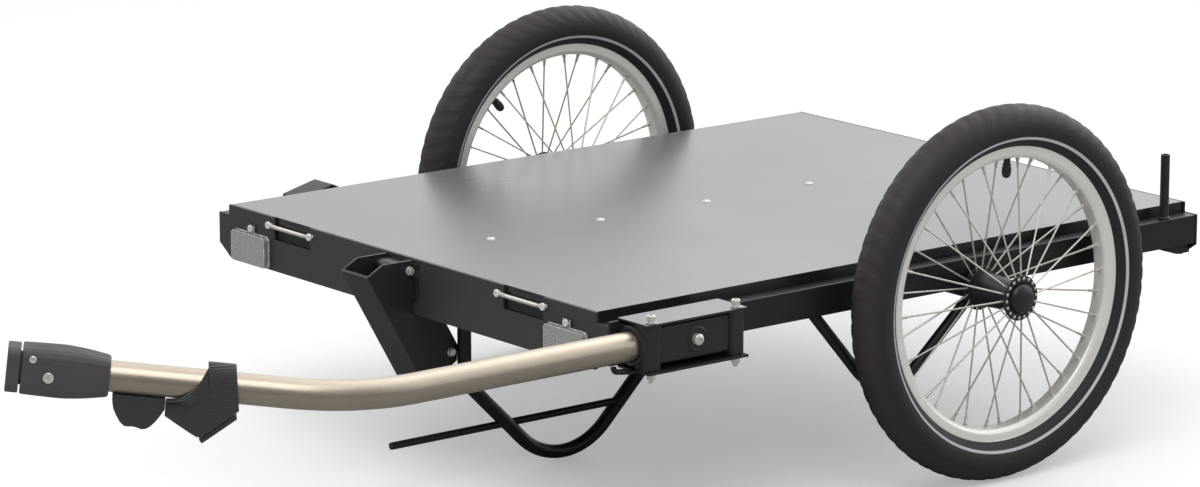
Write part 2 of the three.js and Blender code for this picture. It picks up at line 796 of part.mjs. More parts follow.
// Drawbar tube, with the spring button that locks it in the receiver
const hitchRear = hitchTip.clone().addScaledVector(hitchDirection, -hitchTotal);
const tubeFrontEnd = hitchRear.clone().addScaledVector(hitchDirection, hitchTubeGrip);
const drawbarPath = new RoundedPath([
  new THREE.Vector3(drawbarX, receiverRear - drawbarRearInset, drawbarZ),
  new THREE.Vector3(drawbarX, drawbarBendAt, drawbarZ),
  tubeFrontEnd
], [drawbarBendRadius]);
piece('drawbar_tube', cut(
  tubing(drawbarPath, tubeRadius, 10, tubeRadius - tubeWall), lockHole
), tubeSilver);
const lockEnd = receiverOuter + lockProud;
piece('lock_button', new THREE.LatheGeometry([
  new THREE.Vector2(0, -lockLength),
  new THREE.Vector2(lockRadius, -lockLength),
  new THREE.Vector2(lockRadius, -lockProud / 2),
  new THREE.Vector2(lockRadius * 0.8, 0),
  new THREE.Vector2(0, 0)
], 18).rotateZ(-Math.PI / 2).translate(lockEnd, lockAt, drawbarZ), steel);

// Hitch on the drawbar's end, in a frame with +X along the drawbar and its tip at the origin.
// Its front ring turns on a neck of the body.
const hitch = new THREE.Group();
hitch.position.copy(hitchTip);
hitch.rotation.set(0, -hitchPitch, hitchYaw, 'ZYX');
root.add(hitch);
const bodyFront = -hitchRingLength - hitchRingGap;
const bodyBack = -hitchTotal;
const hitchGrip = bodyBack + hitchTubeGrip;

// Rounds a spun skin towards a square section, leaving its bore as it is
function squared(geometry) {
  const places = geometry.attributes.position;
  for (let i = 0; i < places.count; i += 1) {
    const [y, z] = [places.getY(i), places.getZ(i)];
    const radius = Math.hypot(y, z);
    if (radius <= tubeRadius + cutOver) continue;
    const [c, s] = [Math.abs(y / radius), Math.abs(z / radius)];
    const grow = hitchFlat / hitchRadius / (c ** hitchSquare + s ** hitchSquare) ** (1 / hitchSquare);
    places.setXYZ(i, places.getX(i), y * grow, z * grow * hitchRadius / hitchFlat);
  }
  geometry.computeVertexNormals();
  return geometry;
}

// A side hole or pin in the hitch's near face
function sideways(back, z, radius, from, to, sides) {
  return rod([-back, from, z], [-back, to, z], radius, sides);
}

const hitchProfileShares = [[0, 0.97], [0.42, 1], [0.6, 0.97], [0.77, 0.905], [1, 0.78]];
const hitchSkin = hitchProfileShares.map(
  ([back, wide]) => [bodyFront - back * hitchLength, wide * hitchRadius]
);
const lockFoot = hitchFlat + hitchLockProud - hitchLockLength;
const screwFoot = hitchFlat + hitchScrewProud - hitchScrewLength;
piece('hitch_body', cut(
  squared(spun([
    [bodyBack, tubeRadius + seatGap], ...hitchSkin.slice().reverse(), [bodyFront, hitchNeckRadius],
    [bodyFront + hitchRingGap + hitchNeckReach, hitchNeckRadius],
    [bodyFront + hitchRingGap + hitchNeckReach, hitchSocketRadius],
    [hitchGrip + seatGap, hitchSocketRadius], [hitchGrip + seatGap, tubeRadius + seatGap],
    [bodyBack, tubeRadius + seatGap]
  ], 24)),
  sideways(
    hitchLockBack, -hitchLockDrop, hitchLockRadius + slideGap,
    lockFoot - hitchLockTravel - slideGap, hitchRadius + cutOver, 16
  ),
  sideways(
    hitchScrewBack, hitchScrewRise, hitchScrewRadius + seatGap,
    screwFoot - seatGap, hitchRadius + cutOver, 10
  )
), plasticBlack, hitch);
const ringBore = hitchNeckRadius + slideGap;
const ringStep = -hitchRingLength + hitchNeckReach + slideGap;
piece('hitch_ring', squared(spun([
  [-hitchRingLength, ringBore], [-hitchRingLength, hitchRingRadius], [0, hitchRingRadius],
  [0, hitchSocketRadius], [ringStep, hitchSocketRadius], [ringStep, ringBore], [-hitchRingLength, ringBore]
], 24)), plasticBlack, hitch);
piece('hitch_lock_pin', sideways(
  hitchLockBack, -hitchLockDrop, hitchLockRadius, lockFoot, hitchFlat + hitchLockProud, 16
), steel, hitch);
piece('hitch_screw', sideways(
  hitchScrewBack, hitchScrewRise, hitchScrewRadius, screwFoot, hitchFlat + hitchScrewProud, 10
), steel, hitch);

// Pad, strap and buckle hang under the tube behind the hitch
const underTube = -tubeRadius - seatGap;
const under = (shares, start, length, depth, thickness) => {
  const points = shares.map(([back, down]) => [bodyBack - start - back * length, underTube - down * depth]);
  return platedXZ(points, -thickness / 2, thickness);
};
const padShares = [
  [0, 0], [0.02, 0.36], [0.11, 0.63], [0.28, 0.95], [0.42, 0.94], [0.61, 1], [0.76, 0.9],
  [0.92, 0.57], [1, 0.34], [1, 0]
];
piece('drawbar_pad', under(padShares.slice().reverse(), padStart, padLength, padDepth, padThickness),
  plasticBlack, hitch);
const webShares = [[0, 0], [0, 0.52], [0.45, 0.95], [0.53, 1], [1, 0.22], [1, 0]];
const webStart = padStart + padLength + seatGap;
const [, , , webLowShares, webTailShares] = webShares;
const [buckleFrom, buckleTo] = [webLowShares, webTailShares].map(([back, down]) => new THREE.Vector2(
  bodyBack - webStart - back * strapWebLength, underTube - down * strapWebDepth
));
const buckleSlope = (buckleTo.y - buckleFrom.y) / (buckleTo.x - buckleFrom.x);
const onBuckle = (x, rise) => [x, buckleFrom.y + (x - buckleFrom.x) * buckleSlope + rise];

// A loop that hangs loosely round the tube, closed by a slanted floor along the buckle
const strapFront = bodyBack - strapStart;
const strapRear = strapFront - strapWidth;
const strapHalf = tubeRadius + seatGap + strapThickness;
const strapLow = underTube - strapWebDepth;
const hoop = (half, low) => {
  const arch = Array.from({ length: 9 }, (_, i) => [
    half * Math.cos(i * Math.PI / 8), strapLoose + half * Math.sin(i * Math.PI / 8)
  ]);
  return [[half, low], ...arch, [-half, low]];
};
const strapInside = hoop(strapHalf - strapThickness, strapLow - cutOver);
const strapLoop = cut(
  platedYZ(hoop(strapHalf, strapLow), strapRear, strapWidth),
  platedYZ(strapInside, strapRear - cutOver, strapWidth + 2 * cutOver),
  platedXZ([
    onBuckle(strapFront + cutOver, 0), onBuckle(strapFront + cutOver, -strapWebDepth),
    onBuckle(strapRear - cutOver, -strapWebDepth), onBuckle(strapRear - cutOver, 0)
  ], -strapHalf - cutOver, 2 * (strapHalf + cutOver))
);
const strapFloor = platedXZ([
  onBuckle(strapFront, strapThickness), onBuckle(strapFront, 0), onBuckle(strapRear, 0),
  onBuckle(strapRear, strapThickness)
], -strapHalf, 2 * strapHalf);
piece('safety_strap', join(strapLoop, strapFloor, under(
  webShares.slice().reverse(), webStart, strapWebLength, strapWebDepth, strapWebThickness
)), webbing, hitch);
const buckleTilt = Math.atan2(buckleTo.y - buckleFrom.y, buckleFrom.x - buckleTo.x);
const buckleMiddle = buckleFrom.clone().add(buckleTo).multiplyScalar(1 / 2);
const buckleHalf = buckleLength / 2;
const slotHalf = buckleHalf * buckleSlotShare;
const buckleDown = buckleHeight + 2 * seatGap;
const buckle = cut(
  slab(
    -buckleHalf, -buckleThickness / 2, -buckleDown, buckleHalf, buckleThickness / 2, -2 * seatGap
  ),
  ...[-1, 1].map((side) => slab(
    -slotHalf, side * buckleThickness / 4 - buckleSlot / 2, -buckleDown - cutOver,
    slotHalf, side * buckleThickness / 4 + buckleSlot / 2, cutOver
  ))
);
buckle.rotateY(buckleTilt).translate(buckleMiddle.x, 0, buckleMiddle.y);
piece('strap_buckle', buckle, plasticBlack, hitch);

// Centre pocket, leaning back under the front plate
const lean = degrees(pocketLean);
const down = new THREE.Vector2(Math.sin(lean), -Math.cos(lean));
const across = new THREE.Vector2(Math.cos(lean), Math.sin(lean));
const pocketMouthY = frameFront - pocketReach;
const pocketMouthZ = deckTop - pocketMouthDrop;
const pocketTopZ = deckTop - pocketTopDrop;
const pocketFlangeLow = deckTop - pocketFlangeDrop;
const mouth = new THREE.Vector2(pocketMouthY, pocketMouthZ);
const inPocket = (alongIt, acrossIt) => mouth.clone()
  .addScaledVector(down, alongIt).addScaledVector(across, acrossIt);
const plateFace = frameFront - seatGap;
const underPlate = plateBottom - seatGap;
const rearLineAt = (z) => {
  const start = inPocket(0, pocketSpan);
  return start.x + (start.y - z) * Math.tan(lean);
};
const pocketFoot = inPocket(pocketFrontLength, 0);
const pocketHeel = inPocket(pocketFrontLength, pocketSpan - pocketCornerAcross);
const pocketHeelTop = inPocket(pocketFrontLength - pocketCornerAlong, pocketSpan);
const cheekOutline = [
  [pocketMouthY, pocketMouthZ], [pocketFoot.x, pocketFoot.y], [pocketHeel.x, pocketHeel.y],
  [pocketHeelTop.x, pocketHeelTop.y], [rearLineAt(underPlate), underPlate],
  [plateFace, underPlate], [plateFace, pocketTopZ], [pocketMouthY + pocketRimRun, pocketTopZ]
];
const wallPlate = (a, b, offset) => {
  const inset = across.clone().multiplyScalar(offset);
  return platedYZ([
    [a.x, a.y], [b.x, b.y], [b.x + inset.x, b.y + inset.y], [a.x + inset.x, a.y + inset.y]
  ], pocketRightX, pocketWidth);
};
const rearWallTop = new THREE.Vector2(rearLineAt(underPlate), underPlate);
const rearWallFoot = pocketHeelTop;
const flangeSlab = slab(
  pocketLeftX - pocketWall, plateFace - pocketWall, pocketFlangeLow,
  pocketLeftX + pocketFlange, plateFace, pocketTopZ - pocketWall
);
const flangeSlabRight = slab(
  pocketRightX - pocketFlange, plateFace - pocketWall, pocketFlangeLow,
  pocketRightX + pocketWall, plateFace, pocketTopZ - pocketWall
);
const upperBolt = [plateFace - upperBoltBack, pocketTopZ - upperBoltDrop];
const lowerBolt = inPocket(pocketFrontLength - lowerBoltRise, pocketSpan - lowerBoltInset).toArray();
const acrossPocket = ([y, z], radius, over) => rod(
  [pocketRightX - over, y, z], [pocketLeftX + over, y, z], radius, 12
);
const pocketHoles = [upperBolt, lowerBolt].map(
  (place) => acrossPocket(place, pocketBoltRadius + seatGap, cutOver)
);
const [upperY, upperZ] = upperBolt;
const washerRecesses = [
  [pocketLeftX, pocketLeftX + pocketFlange + cutOver], [pocketRightX - pocketFlange - cutOver, pocketRightX]
].map(([x0, x1]) => rod([x0, upperY, upperZ], [x1, upperY, upperZ], pocketWasher + 2 * seatGap, 16));
piece('pocket', cut(join(
  platedYZ(cheekOutline, pocketRightX, pocketWall),
  platedYZ(cheekOutline, pocketLeftX - pocketWall, pocketWall),
  wallPlate(mouth, pocketFoot, pocketWall),
  wallPlate(rearWallTop, rearWallFoot, -pocketWall),
  flangeSlab,
  flangeSlabRight
), ...pocketHoles, ...washerRecesses), powderBlack);
[['upper', upperBolt], ['lower', lowerBolt]].forEach(([place, [y, z]]) => {
  const half = pocketWidth / 2 + seatGap;
  const headEnd = half + pocketBoltHeadHeight;
  const washerEnd = half + washerThickness;
  const bolt = spun([
    [-headEnd, 0], [-headEnd, pocketBoltHead], [-washerEnd, pocketBoltHead],
    [-washerEnd, pocketWasher], [-half, pocketWasher], [-half, pocketBoltRadius],
    [half, pocketBoltRadius], [half, pocketWasher], [washerEnd, pocketWasher],
    [washerEnd, pocketBoltHead], [headEnd, pocketBoltHead], [headEnd, 0]
  ], fastenerSides);
  piece(`pocket_bolt_${place}`, bolt.translate(pocketRightX + pocketWidth / 2, y, z), steel);
});

// Spring tongue that curls over inside the pocket's mouth and leans with its front wall
const tongueZ = pocketTopZ - 2 * tongueThickness;
const tongueBendY = plateFace - tongueRun;
const tonguePath = new RoundedPath([
  new THREE.Vector3(0, plateFace - seatGap, tongueZ),
  new THREE.Vector3(0, tongueBendY, tongueZ),
  new THREE.Vector3(0, tongueBendY + tongueDepth * down.x, tongueZ + tongueDepth * down.y)
], [tongueBend]);
const tongueHalf = pocketWidth / 2 - pocketWall - seatGap;
const tongueShape = new THREE.Shape([
  new THREE.Vector2(-tongueThickness / 2, -tongueHalf), new THREE.Vector2(tongueThickness / 2, -tongueHalf),
  new THREE.Vector2(tongueThickness / 2, tongueHalf), new THREE.Vector2(-tongueThickness / 2, tongueHalf)
]);
const tongue = new THREE.ExtrudeGeometry(tongueShape, {
  steps: tonguePath.steps, bevelEnabled: false, extrudePath: tonguePath
});
piece('pocket_tongue', tongue.translate(pocketRightX + pocketWidth / 2, 0, 0), plasticBlack);

// Stand: one bent tube with a foot rod welded across it, hung on two pins
const legDrop = standSpread * Math.tan(degrees(standLegAngle));
const standLowVertex = standRadius - standLowBend * (1 / Math.cos(degrees(standLegAngle)) - 1);
const standHighVertex = standLowVertex + legDrop;
const inStand = (y, z) => new THREE.Vector3(standPlaneX, y, z);
const standTube = tubing(new RoundedPath([
  inStand(standPivotYs[0], standPivotZ), inStand(standPivotYs[0], standHighVertex),
  inStand(standAt, standLowVertex),
  inStand(standPivotYs[1], standHighVertex), inStand(standPivotYs[1], standPivotZ)
], [standHighBend, standLowBend, standHighBend]), standRadius, 5);
const standBarrels = standPivotYs.map((y) => rod(
  [standPivotX, y - standBarrelLength / 2, standPivotZ],
  [standPivotX, y + standBarrelLength / 2, standPivotZ],
  standBarrelRadius,
  14
));
const pivotBores = standPivotYs.map((y) => rod(
  [standPivotX, y - standBarrelLength, standPivotZ],
  [standPivotX, y + standBarrelLength, standPivotZ],
  pivotRadius + slideGap,
  12
));
const footRod = rod(
  [standPlaneX, standAt - rodAhead, rodZ], [standPlaneX, standAt + rodBehind, rodZ], rodRadius, 10
);
piece('stand', cut(join(standTube, footRod, ...standBarrels), ...pivotBores), powderBlack);
standPivotYs.forEach((y, i) => {
  const half = standBarrelLength / 2 + slideGap + cheekThickness + seatGap;
  const pin = new THREE.LatheGeometry([
    [0, -half - pivotHeadHeight], [pivotHead, -half - pivotHeadHeight], [pivotHead, -half],
    [pivotRadius, -half], [pivotRadius, half], [pivotHead, half],
    [pivotHead, half + pivotHeadHeight], [0, half + pivotHeadHeight]
  ].map(([radius, at]) => new THREE.Vector2(radius, at)), fastenerSides);
  piece(`stand_pin_${['front', 'rear'][i]}`, pin.translate(standPivotX, y, standPivotZ), steel);
});

// Flag tube on the left beam
const flagHeight = deckTop + flagRise - beamTop;
piece('flag_tube', new THREE.LatheGeometry([
  [flagBore, 0], [flagFoot, 0], [flagFoot, flagFootHeight], [flagRadius, flagFootHeight],
  [flagRadius, flagHeight], [flagBore, flagHeight], [flagBore, 0]
].map(([radius, z]) => new THREE.Vector2(radius, z)), 14)
  .rotateX(Math.PI / 2).translate(halfFrame - flagInset, frameRear - flagBack, beamTop), plasticBlack);

// Bracket on the right beam
const bracketFront = frameFront + sideBracketBack;
const bracketRear = bracketFront + sideBracketLength;
const bracketTop = deckTop - sideBracketDrop;
piece('side_bracket_right', platedYZ([
  [bracketFront, beamBottom], [bracketRear, beamBottom],
  [bracketRear, bracketTop - sideBracketRise],
  [bracketFront + sideBracketLength * sideBracketPeakShare, bracketTop],
  [bracketFront, bracketTop - sideBracketRise]
], -halfFrame - seatGap - sideBracketReach, sideBracketReach), powderBlack);

// Wheels, each in a frame with +X pointing outwards along the axle
const tyreBase = rimRadius + seatGap;
const tyreRise = wheelRadius - tyreBase;
const inTyre = ([wide, high]) => [wide * tyreHalfWidth, tyreBase + high * tyreRise];
const tyreOuterShares = [[0.48, 0.94], [0.87, 0.73], [1, 0.44], [0.7, 0.09]];
const tyreInnerShares = [[0.8, 0.42], [0.58, 0.84]];
const innerTubeShares = [[0.5, 0.79], [0.72, 0.43], [0.4, 0.17]];
const hubInnerFace = innerFlangeAt - flangeThickness / 2;
const hubOuterFace = outerFlangeAt + flangeThickness / 2;
const cupFloor = hubOuterFace - buttonBoreDepth;

function tyreRing() {
  const outer = tyreOuterShares.map(inTyre);
  const inner = tyreInnerShares.map(inTyre);
  const right = [
    ...outer, [beadHalf, tyreBase], [beadHalf - seatGap, rimBed + seatGap],
    [beadHalf - tyreWall, rimBed + seatGap], ...inner
  ];
  const left = right.map(([x, r]) => [-x, r]).reverse();
  return spun([[0, wheelRadius], ...right, ...left, [0, wheelRadius]], wheelSteps);
}

function rimRing() {
  const lip = rimHalfWidth - rimFlange;
  const shoulder = rimHalfWidth - rimFlange / 2;
  return spun([
    [-rimHalfWidth, rimRadius], [-rimHalfWidth + rimFlange / 2, rimShoulder],
    [-rimSpokeBedHalf, rimSpokeBed], [rimSpokeBedHalf, rimSpokeBed], [shoulder, rimShoulder],
    [rimHalfWidth, rimRadius], [lip, rimRadius], [beadHalf + seatGap, rimBed],
    [-beadHalf - seatGap, rimBed], [-lip, rimRadius], [-rimHalfWidth, rimRadius]
  ].reverse(), wheelSteps);
}

function innerTube() {
  const right = [
    ...innerTubeShares.map(inTyre), [tubeNeckHalf, tyreBase], [tubeNeckHalf, rimBed + 5 * seatGap]
  ];
  const left = right.map(([x, r]) => [-x, r]).reverse();
  return spun([...right, ...left, right[0]], innerTubeSteps);
}

function hubShell() {
  const lipIn = hubInnerFace + bearingWidth + seatGap;
  const lipOut = cupFloor - bearingWidth - seatGap;
  const neck = outerFlangeAt - flangeThickness / 2;
  return spun([
    [hubInnerFace, bearingRadius + seatGap], [hubInnerFace, flangeRadius],
    [hubInnerFace + flangeThickness, flangeRadius], [hubInnerFace + flangeThickness, barrelInner],
    [neck - buttonBoreDepth, barrelOuter], [neck, buttonBoreRadius + flangeThickness],
    [neck, flangeRadius], [hubOuterFace, flangeRadius], [hubOuterFace, buttonBoreRadius],
    [cupFloor, buttonBoreRadius], [cupFloor, bearingRadius + seatGap],
    [lipOut, bearingRadius + seatGap], [lipOut, bearingLip], [lipIn, bearingLip],
    [lipIn, bearingRadius + seatGap], [hubInnerFace, bearingRadius + seatGap]
  ], 24);
}

// Two bearings with the spacer between them
function bearingSet() {
  const bore = axleRadius + slideGap;
  const spacer = spacerRadius;
  return spun([
    [hubInnerFace, bore], [hubInnerFace, bearingRadius], [hubInnerFace + bearingWidth, bearingRadius],
    [hubInnerFace + bearingWidth, spacer], [cupFloor - bearingWidth, spacer],
    [cupFloor - bearingWidth, bearingRadius], [cupFloor, bearingRadius], [cupFloor, bore],
    [hubInnerFace, bore]
  ], 16);
}

// The spokes of one flange run straight out to their nipples, and a thin ring behind the flange
// joins their heads
function spokeSet(end) {
  const holeStep = Math.PI * 2 / spokesPerFlange;
  const flangeMiddle = end < 0 ? innerFlangeAt : outerFlangeAt;
  const hubAlong = flangeMiddle - end * (flangeThickness / 2 + spokeRadius + seatGap);
  const rimAlong = end * rimSpokeBedHalf / 3;
  const place = (x, radius, angle) => new THREE.Vector3(
    x, radius * Math.sin(angle), radius * Math.cos(angle)
  );
  const parts = [];
  for (let k = 0; k < spokesPerFlange; k += 1) {
    const angle = holeStep * (k + (end < 0 ? 3 : 1) / 4);
    const from = place(hubAlong, spokeCircle, angle);
    const to = place(rimAlong, rimSpokeBed - 4 * seatGap, angle);
    const nippleFoot = from.clone().sub(to).setLength(nippleLength).add(to);
    const inNipple = to.clone().add(nippleFoot).multiplyScalar(1 / 2);
    parts.push(rod(from.toArray(), inNipple.toArray(), spokeRadius, spokeSides));
    parts.push(rod(nippleFoot.toArray(), to.toArray(), nippleRadius, nippleSides));
  }
  return join(...parts, spun([
    [hubAlong - spokeRadius, spokeCircle], [hubAlong, spokeCircle - spokeRadius],
    [hubAlong + spokeRadius, spokeCircle], [hubAlong, spokeCircle + spokeRadius],
    [hubAlong - spokeRadius, spokeCircle]
  ].reverse(), spokesPerFlange));
}

function addWheel(side, sign, valveAngle) {
  const group = new THREE.Group();
  group.position.set(sign * wheelX, 0, axleZ);
  if (sign < 0) group.rotation.z = Math.PI;
  root.add(group);
  const turned = (geometry) => geometry.rotateX(-degrees(valveAngle));

  const valveTop = rimBed + 5 * seatGap;
  const valveFoot = valveTop - valveLength;
  const capFoot = valveFoot - valveCapLength;
  const valve = join(
    rod([0, 0, valveFoot - cutOver], [0, 0, valveTop + cutOver], valveRadius, 10),
    rod([0, 0, capFoot], [0, 0, valveFoot], valveCapRadius, 10)
  );
  const valveHole = rod(
    [0, 0, rimSpokeBed - cutOver], [0, 0, rimRadius + cutOver], valveRadius + seatGap, 12
  );
  piece(`tyre_${side}`, tyreRing(), rubberBlack, group);
  piece(`inner_tube_${side}`, join(innerTube(), turned(valve)), rubberBlack, group);
  piece(`rim_${side}`, cut(rimRing(), turned(valveHole)), rimSilver, group);
  piece(`spokes_inner_${side}`, turned(spokeSet(-1)), steel, group);
  piece(`spokes_outer_${side}`, turned(spokeSet(1)), steel, group);
  piece(`hub_${side}`, hubShell(), plasticBlack, group);
  piece(`bearings_${side}`, bearingSet(), steel, group);

  const socketMouth = -wheelClearance;
  const collarEnd = hubInnerFace - slideGap;
  const boreEnd = cupFloor - buttonStem - buttonTravel;
  piece(`axle_${side}`, spun([
    [socketMouth - axleGrip, 0], [socketMouth - axleGrip, axleRadius], [socketMouth, axleRadius],
    [socketMouth, axleCollarRadius], [collarEnd, axleCollarRadius], [collarEnd, axleRadius],
    [cupFloor, axleRadius], [cupFloor, buttonStemRadius + slideGap],
    [boreEnd, buttonStemRadius + slideGap], [boreEnd, 0]
  ], 16), steel, group);
  const headFoot = cupFloor + buttonTravel + seatGap;
  const headRim = headFoot + buttonRim;
  piece(`axle_button_${side}`, spun([
    [cupFloor - buttonStem + buttonTravel, 0], [cupFloor - buttonStem + buttonTravel, buttonStemRadius],
    [headFoot, buttonStemRadius], [headFoot, buttonRadius], [headRim, buttonRadius],
    [headRim + buttonDome / 2, buttonRadius * 0.87], [headRim + buttonDome * 0.86, buttonRadius * 0.55],
    [headRim + buttonDome, 0]
  ], 20), plasticBlack, group);
}
addWheel('left', 1, valveAngleLeft);
addWheel('right', -1, valveAngleRight);

// The origin lies under the middle of the whole trailer
const reach = new THREE.Box3().setFromObject(root, true);
root.position.y = -(reach.min.y + reach.max.y) / 2;

export default root;
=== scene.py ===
import json
import math

import bmesh
import bpy
from mathutils import Matrix, Vector

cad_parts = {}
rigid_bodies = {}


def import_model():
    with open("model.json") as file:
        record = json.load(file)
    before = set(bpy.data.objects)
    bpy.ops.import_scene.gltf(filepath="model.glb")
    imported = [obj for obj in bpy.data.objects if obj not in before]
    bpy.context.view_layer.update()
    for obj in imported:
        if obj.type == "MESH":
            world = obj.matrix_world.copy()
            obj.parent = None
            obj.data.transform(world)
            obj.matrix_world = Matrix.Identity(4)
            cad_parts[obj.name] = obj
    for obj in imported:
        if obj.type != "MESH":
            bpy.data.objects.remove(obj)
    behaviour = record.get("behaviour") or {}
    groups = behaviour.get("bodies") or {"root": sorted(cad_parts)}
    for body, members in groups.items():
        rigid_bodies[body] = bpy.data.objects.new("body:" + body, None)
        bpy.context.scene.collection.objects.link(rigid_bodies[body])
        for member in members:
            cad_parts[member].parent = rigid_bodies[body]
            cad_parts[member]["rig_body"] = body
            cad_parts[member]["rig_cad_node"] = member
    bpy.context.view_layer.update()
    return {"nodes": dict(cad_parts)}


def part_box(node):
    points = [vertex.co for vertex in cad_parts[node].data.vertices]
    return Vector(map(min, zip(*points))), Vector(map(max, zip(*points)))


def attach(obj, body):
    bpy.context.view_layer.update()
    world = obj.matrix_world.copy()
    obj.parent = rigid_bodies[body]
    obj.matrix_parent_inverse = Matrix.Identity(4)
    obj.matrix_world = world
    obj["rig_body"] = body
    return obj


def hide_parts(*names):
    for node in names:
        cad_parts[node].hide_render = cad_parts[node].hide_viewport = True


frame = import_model()
nodes = frame["nodes"]
mm = 0.001
axleSpot = (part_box("hub_left")[0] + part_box("hub_left")[1]) / 2
axleSpot.x = 0


def at(x, y, z):
    # millimetres from the ground under the axle's middle, front towards -Y
    return Vector((x * mm, y * mm + axleSpot.y, z * mm))


def middle(node):
    low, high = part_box(node)
    return (low + high) / 2


# Modelling helpers

def deselectAll():
    if bpy.context.object and bpy.context.object.mode != "OBJECT":
        bpy.ops.object.mode_set(mode="OBJECT")
    bpy.ops.object.select_all(action="DESELECT")


def makeActive(obj):
    deselectAll()
    bpy.context.view_layer.objects.active = obj
    obj.select_set(True)


def newest():
    # the primitive just added, with its place put into its mesh
    obj = bpy.context.object
    bpy.ops.object.transform_apply(location=True, rotation=True, scale=True)
    return obj


def openMesh(obj, kind="FACE"):
    makeActive(obj)
    bpy.ops.object.mode_set(mode="EDIT")
    bpy.ops.mesh.select_mode(type=kind)


def closeMesh():
    bpy.ops.object.mode_set(mode="OBJECT")


def selectAll():
    bpy.ops.mesh.select_all(action="SELECT")


def extrude(way):
    bpy.ops.mesh.extrude_region_move(TRANSFORM_OT_translate={"value": way})


def pick(obj, kind, test):
    # selects the faces, edges or vertices of the open mesh that pass a test
    bpy.ops.mesh.select_mode(type=kind)
    bpy.ops.mesh.select_all(action="DESELECT")
    mesh = bmesh.from_edit_mesh(obj.data)
    for part in {"FACE": mesh.faces, "EDGE": mesh.edges, "VERT": mesh.verts}[kind]:
        part.select_set(bool(test(part)))
    if kind == "VERT":
        mesh.select_flush_mode()
    bmesh.update_edit_mesh(obj.data)


def cleanUp(obj, distance=0.00001):
    openMesh(obj, "VERT")
    selectAll()
    bpy.ops.mesh.remove_doubles(threshold=distance)
    bpy.ops.mesh.normals_make_consistent(inside=False)
    closeMesh()


def bevelEdges(obj, width, segments=2, angle=30):
    makeActive(obj)
    bevel = obj.modifiers.new("bevel", "BEVEL")
    bevel.width = width
    bevel.segments = segments
    bevel.limit_method = "ANGLE"
    bevel.angle_limit = math.radians(angle)
    bevel.use_clamp_overlap = True
    bpy.ops.object.modifier_apply(modifier=bevel.name)


def smooth(obj, angle=35):
    makeActive(obj)
    bpy.ops.object.shade_smooth_by_angle(angle=math.radians(angle))


def joinAll(objs):
    makeActive(objs[0])
    for obj in objs:
        obj.select_set(True)
    bpy.ops.object.join()
    return bpy.context.object


def finishPiece(obj, cadName, ending, material, angle=35, body="frame"):
    # named after the CAD node that it replaces
    name = f"{cadName}_{ending}"
    smooth(obj, angle)
    weighted = obj.modifiers.new("weighted", "WEIGHTED_NORMAL")
    weighted.keep_sharp = True
    bpy.ops.object.modifier_apply(modifier=weighted.name)
    obj.name = name
    obj.data.name = name
    obj.data.materials.clear()
    obj.data.materials.append(material)
    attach(obj, body)
    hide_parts(cadName)
    return obj


def softCopy(node, name=None, width=0.6 * mm, segments=2, angle=30):
    # a merged copy of a CAD node with its edges broken
    obj = nodes[node].copy()
    obj.data = nodes[node].data.copy()
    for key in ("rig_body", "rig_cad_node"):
        if key in obj:
            del obj[key]
    obj.parent = None
    bpy.context.scene.collection.objects.link(obj)
    obj.name = name or node + "_soft"
    openMesh(obj, "VERT")
    selectAll()
    bpy.ops.mesh.remove_doubles(threshold=0.00002)
    bpy.ops.mesh.dissolve_limited(angle_limit=math.radians(0.5))
    closeMesh()
    if width:
        bevelEdges(obj, width, segments, angle)
    return obj


def roundBar(radius, spot, direction, sides=48):
    # the round end of a bar, ready to be drawn out along its path
    turn = Vector(direction).to_track_quat("Z", "Y").to_euler()
    deselectAll()
    bpy.ops.mesh.primitive_circle_add(vertices=sides, radius=radius, fill_type="NGON", location=spot, rotation=turn)
    return newest()


def drawOut(corners, bends, radius, sides=48, turnStep=6):
    # a bar through corner points, with a bend radius at each inner corner
    points = [Vector(p) for p in corners]
    obj = roundBar(radius, points[0], points[1] - points[0], sides)
    openMesh(obj)
    selectAll()
    here = points[0]
    for i, bend in enumerate(bends, 1):
        into = (points[i] - points[i - 1]).normalized()
        out = (points[i + 1] - points[i]).normalized()
        turned = into.angle(out)
        back = bend * math.tan(turned / 2)
        axis = into.cross(out).normalized()
        start = points[i] - into * back
        centre = start + axis.cross(into) * bend
        extrude(start - here)
        steps = max(4, math.ceil(math.degrees(turned) / turnStep))
        bpy.ops.mesh.spin(steps=steps, angle=turned, center=centre, axis=-axis)
        here = points[i] + out * back
    extrude(points[-1] - here)
    closeMesh()
    cleanUp(obj)
    return obj


def tracePath(spots):
    # edges through points, left open with all of it selected
    deselectAll()
    bpy.ops.mesh.primitive_plane_add(size=1 * mm, location=spots[0])
    obj = newest()
    openMesh(obj, "VERT")
    selectAll()
    bpy.ops.mesh.merge(type="CENTER")
    for last, spot in zip(spots, spots[1:]):
        extrude(spot - last)
    selectAll()
    return obj


def spinProfile(profile, centre, axis, side, steps=64, closed=False):
    # profile points are (along the axis, out from it) in millimetres
    axis, side, centre = Vector(axis), Vector(side), Vector(centre)
    spots = [centre + axis * a * mm + side * r * mm for a, r in profile]
    if closed:
        spots.append(spots[0])
    obj = tracePath(spots)
    bpy.ops.mesh.spin(steps=steps, angle=math.tau, center=centre, axis=axis)
    closeMesh()
    cleanUp(obj)
    return obj


def twin(obj, name, matrix):
    # a copy with its own mesh, moved by a matrix
    other = obj.copy()
    other.data = obj.data.copy()
    bpy.context.scene.collection.objects.link(other)
    other.name = name
    other.data.transform(matrix)
    if matrix.determinant() < 0:
        other.data.flip_normals()
    return other


def turnAbout(centre, angle, axis):
    spot = Matrix.Translation(Vector(centre))
    return spot @ Matrix.Rotation(angle, 4, Vector(axis)) @ spot.inverted()


def around(obj, count, centre, axis):
    # the piece and its turned copies, joined
    copies = [twin(obj, f"{obj.name}_{i}", turnAbout(centre, math.tau * i / count, axis)) for i in range(1, count)]
    return joinAll([obj] + copies)


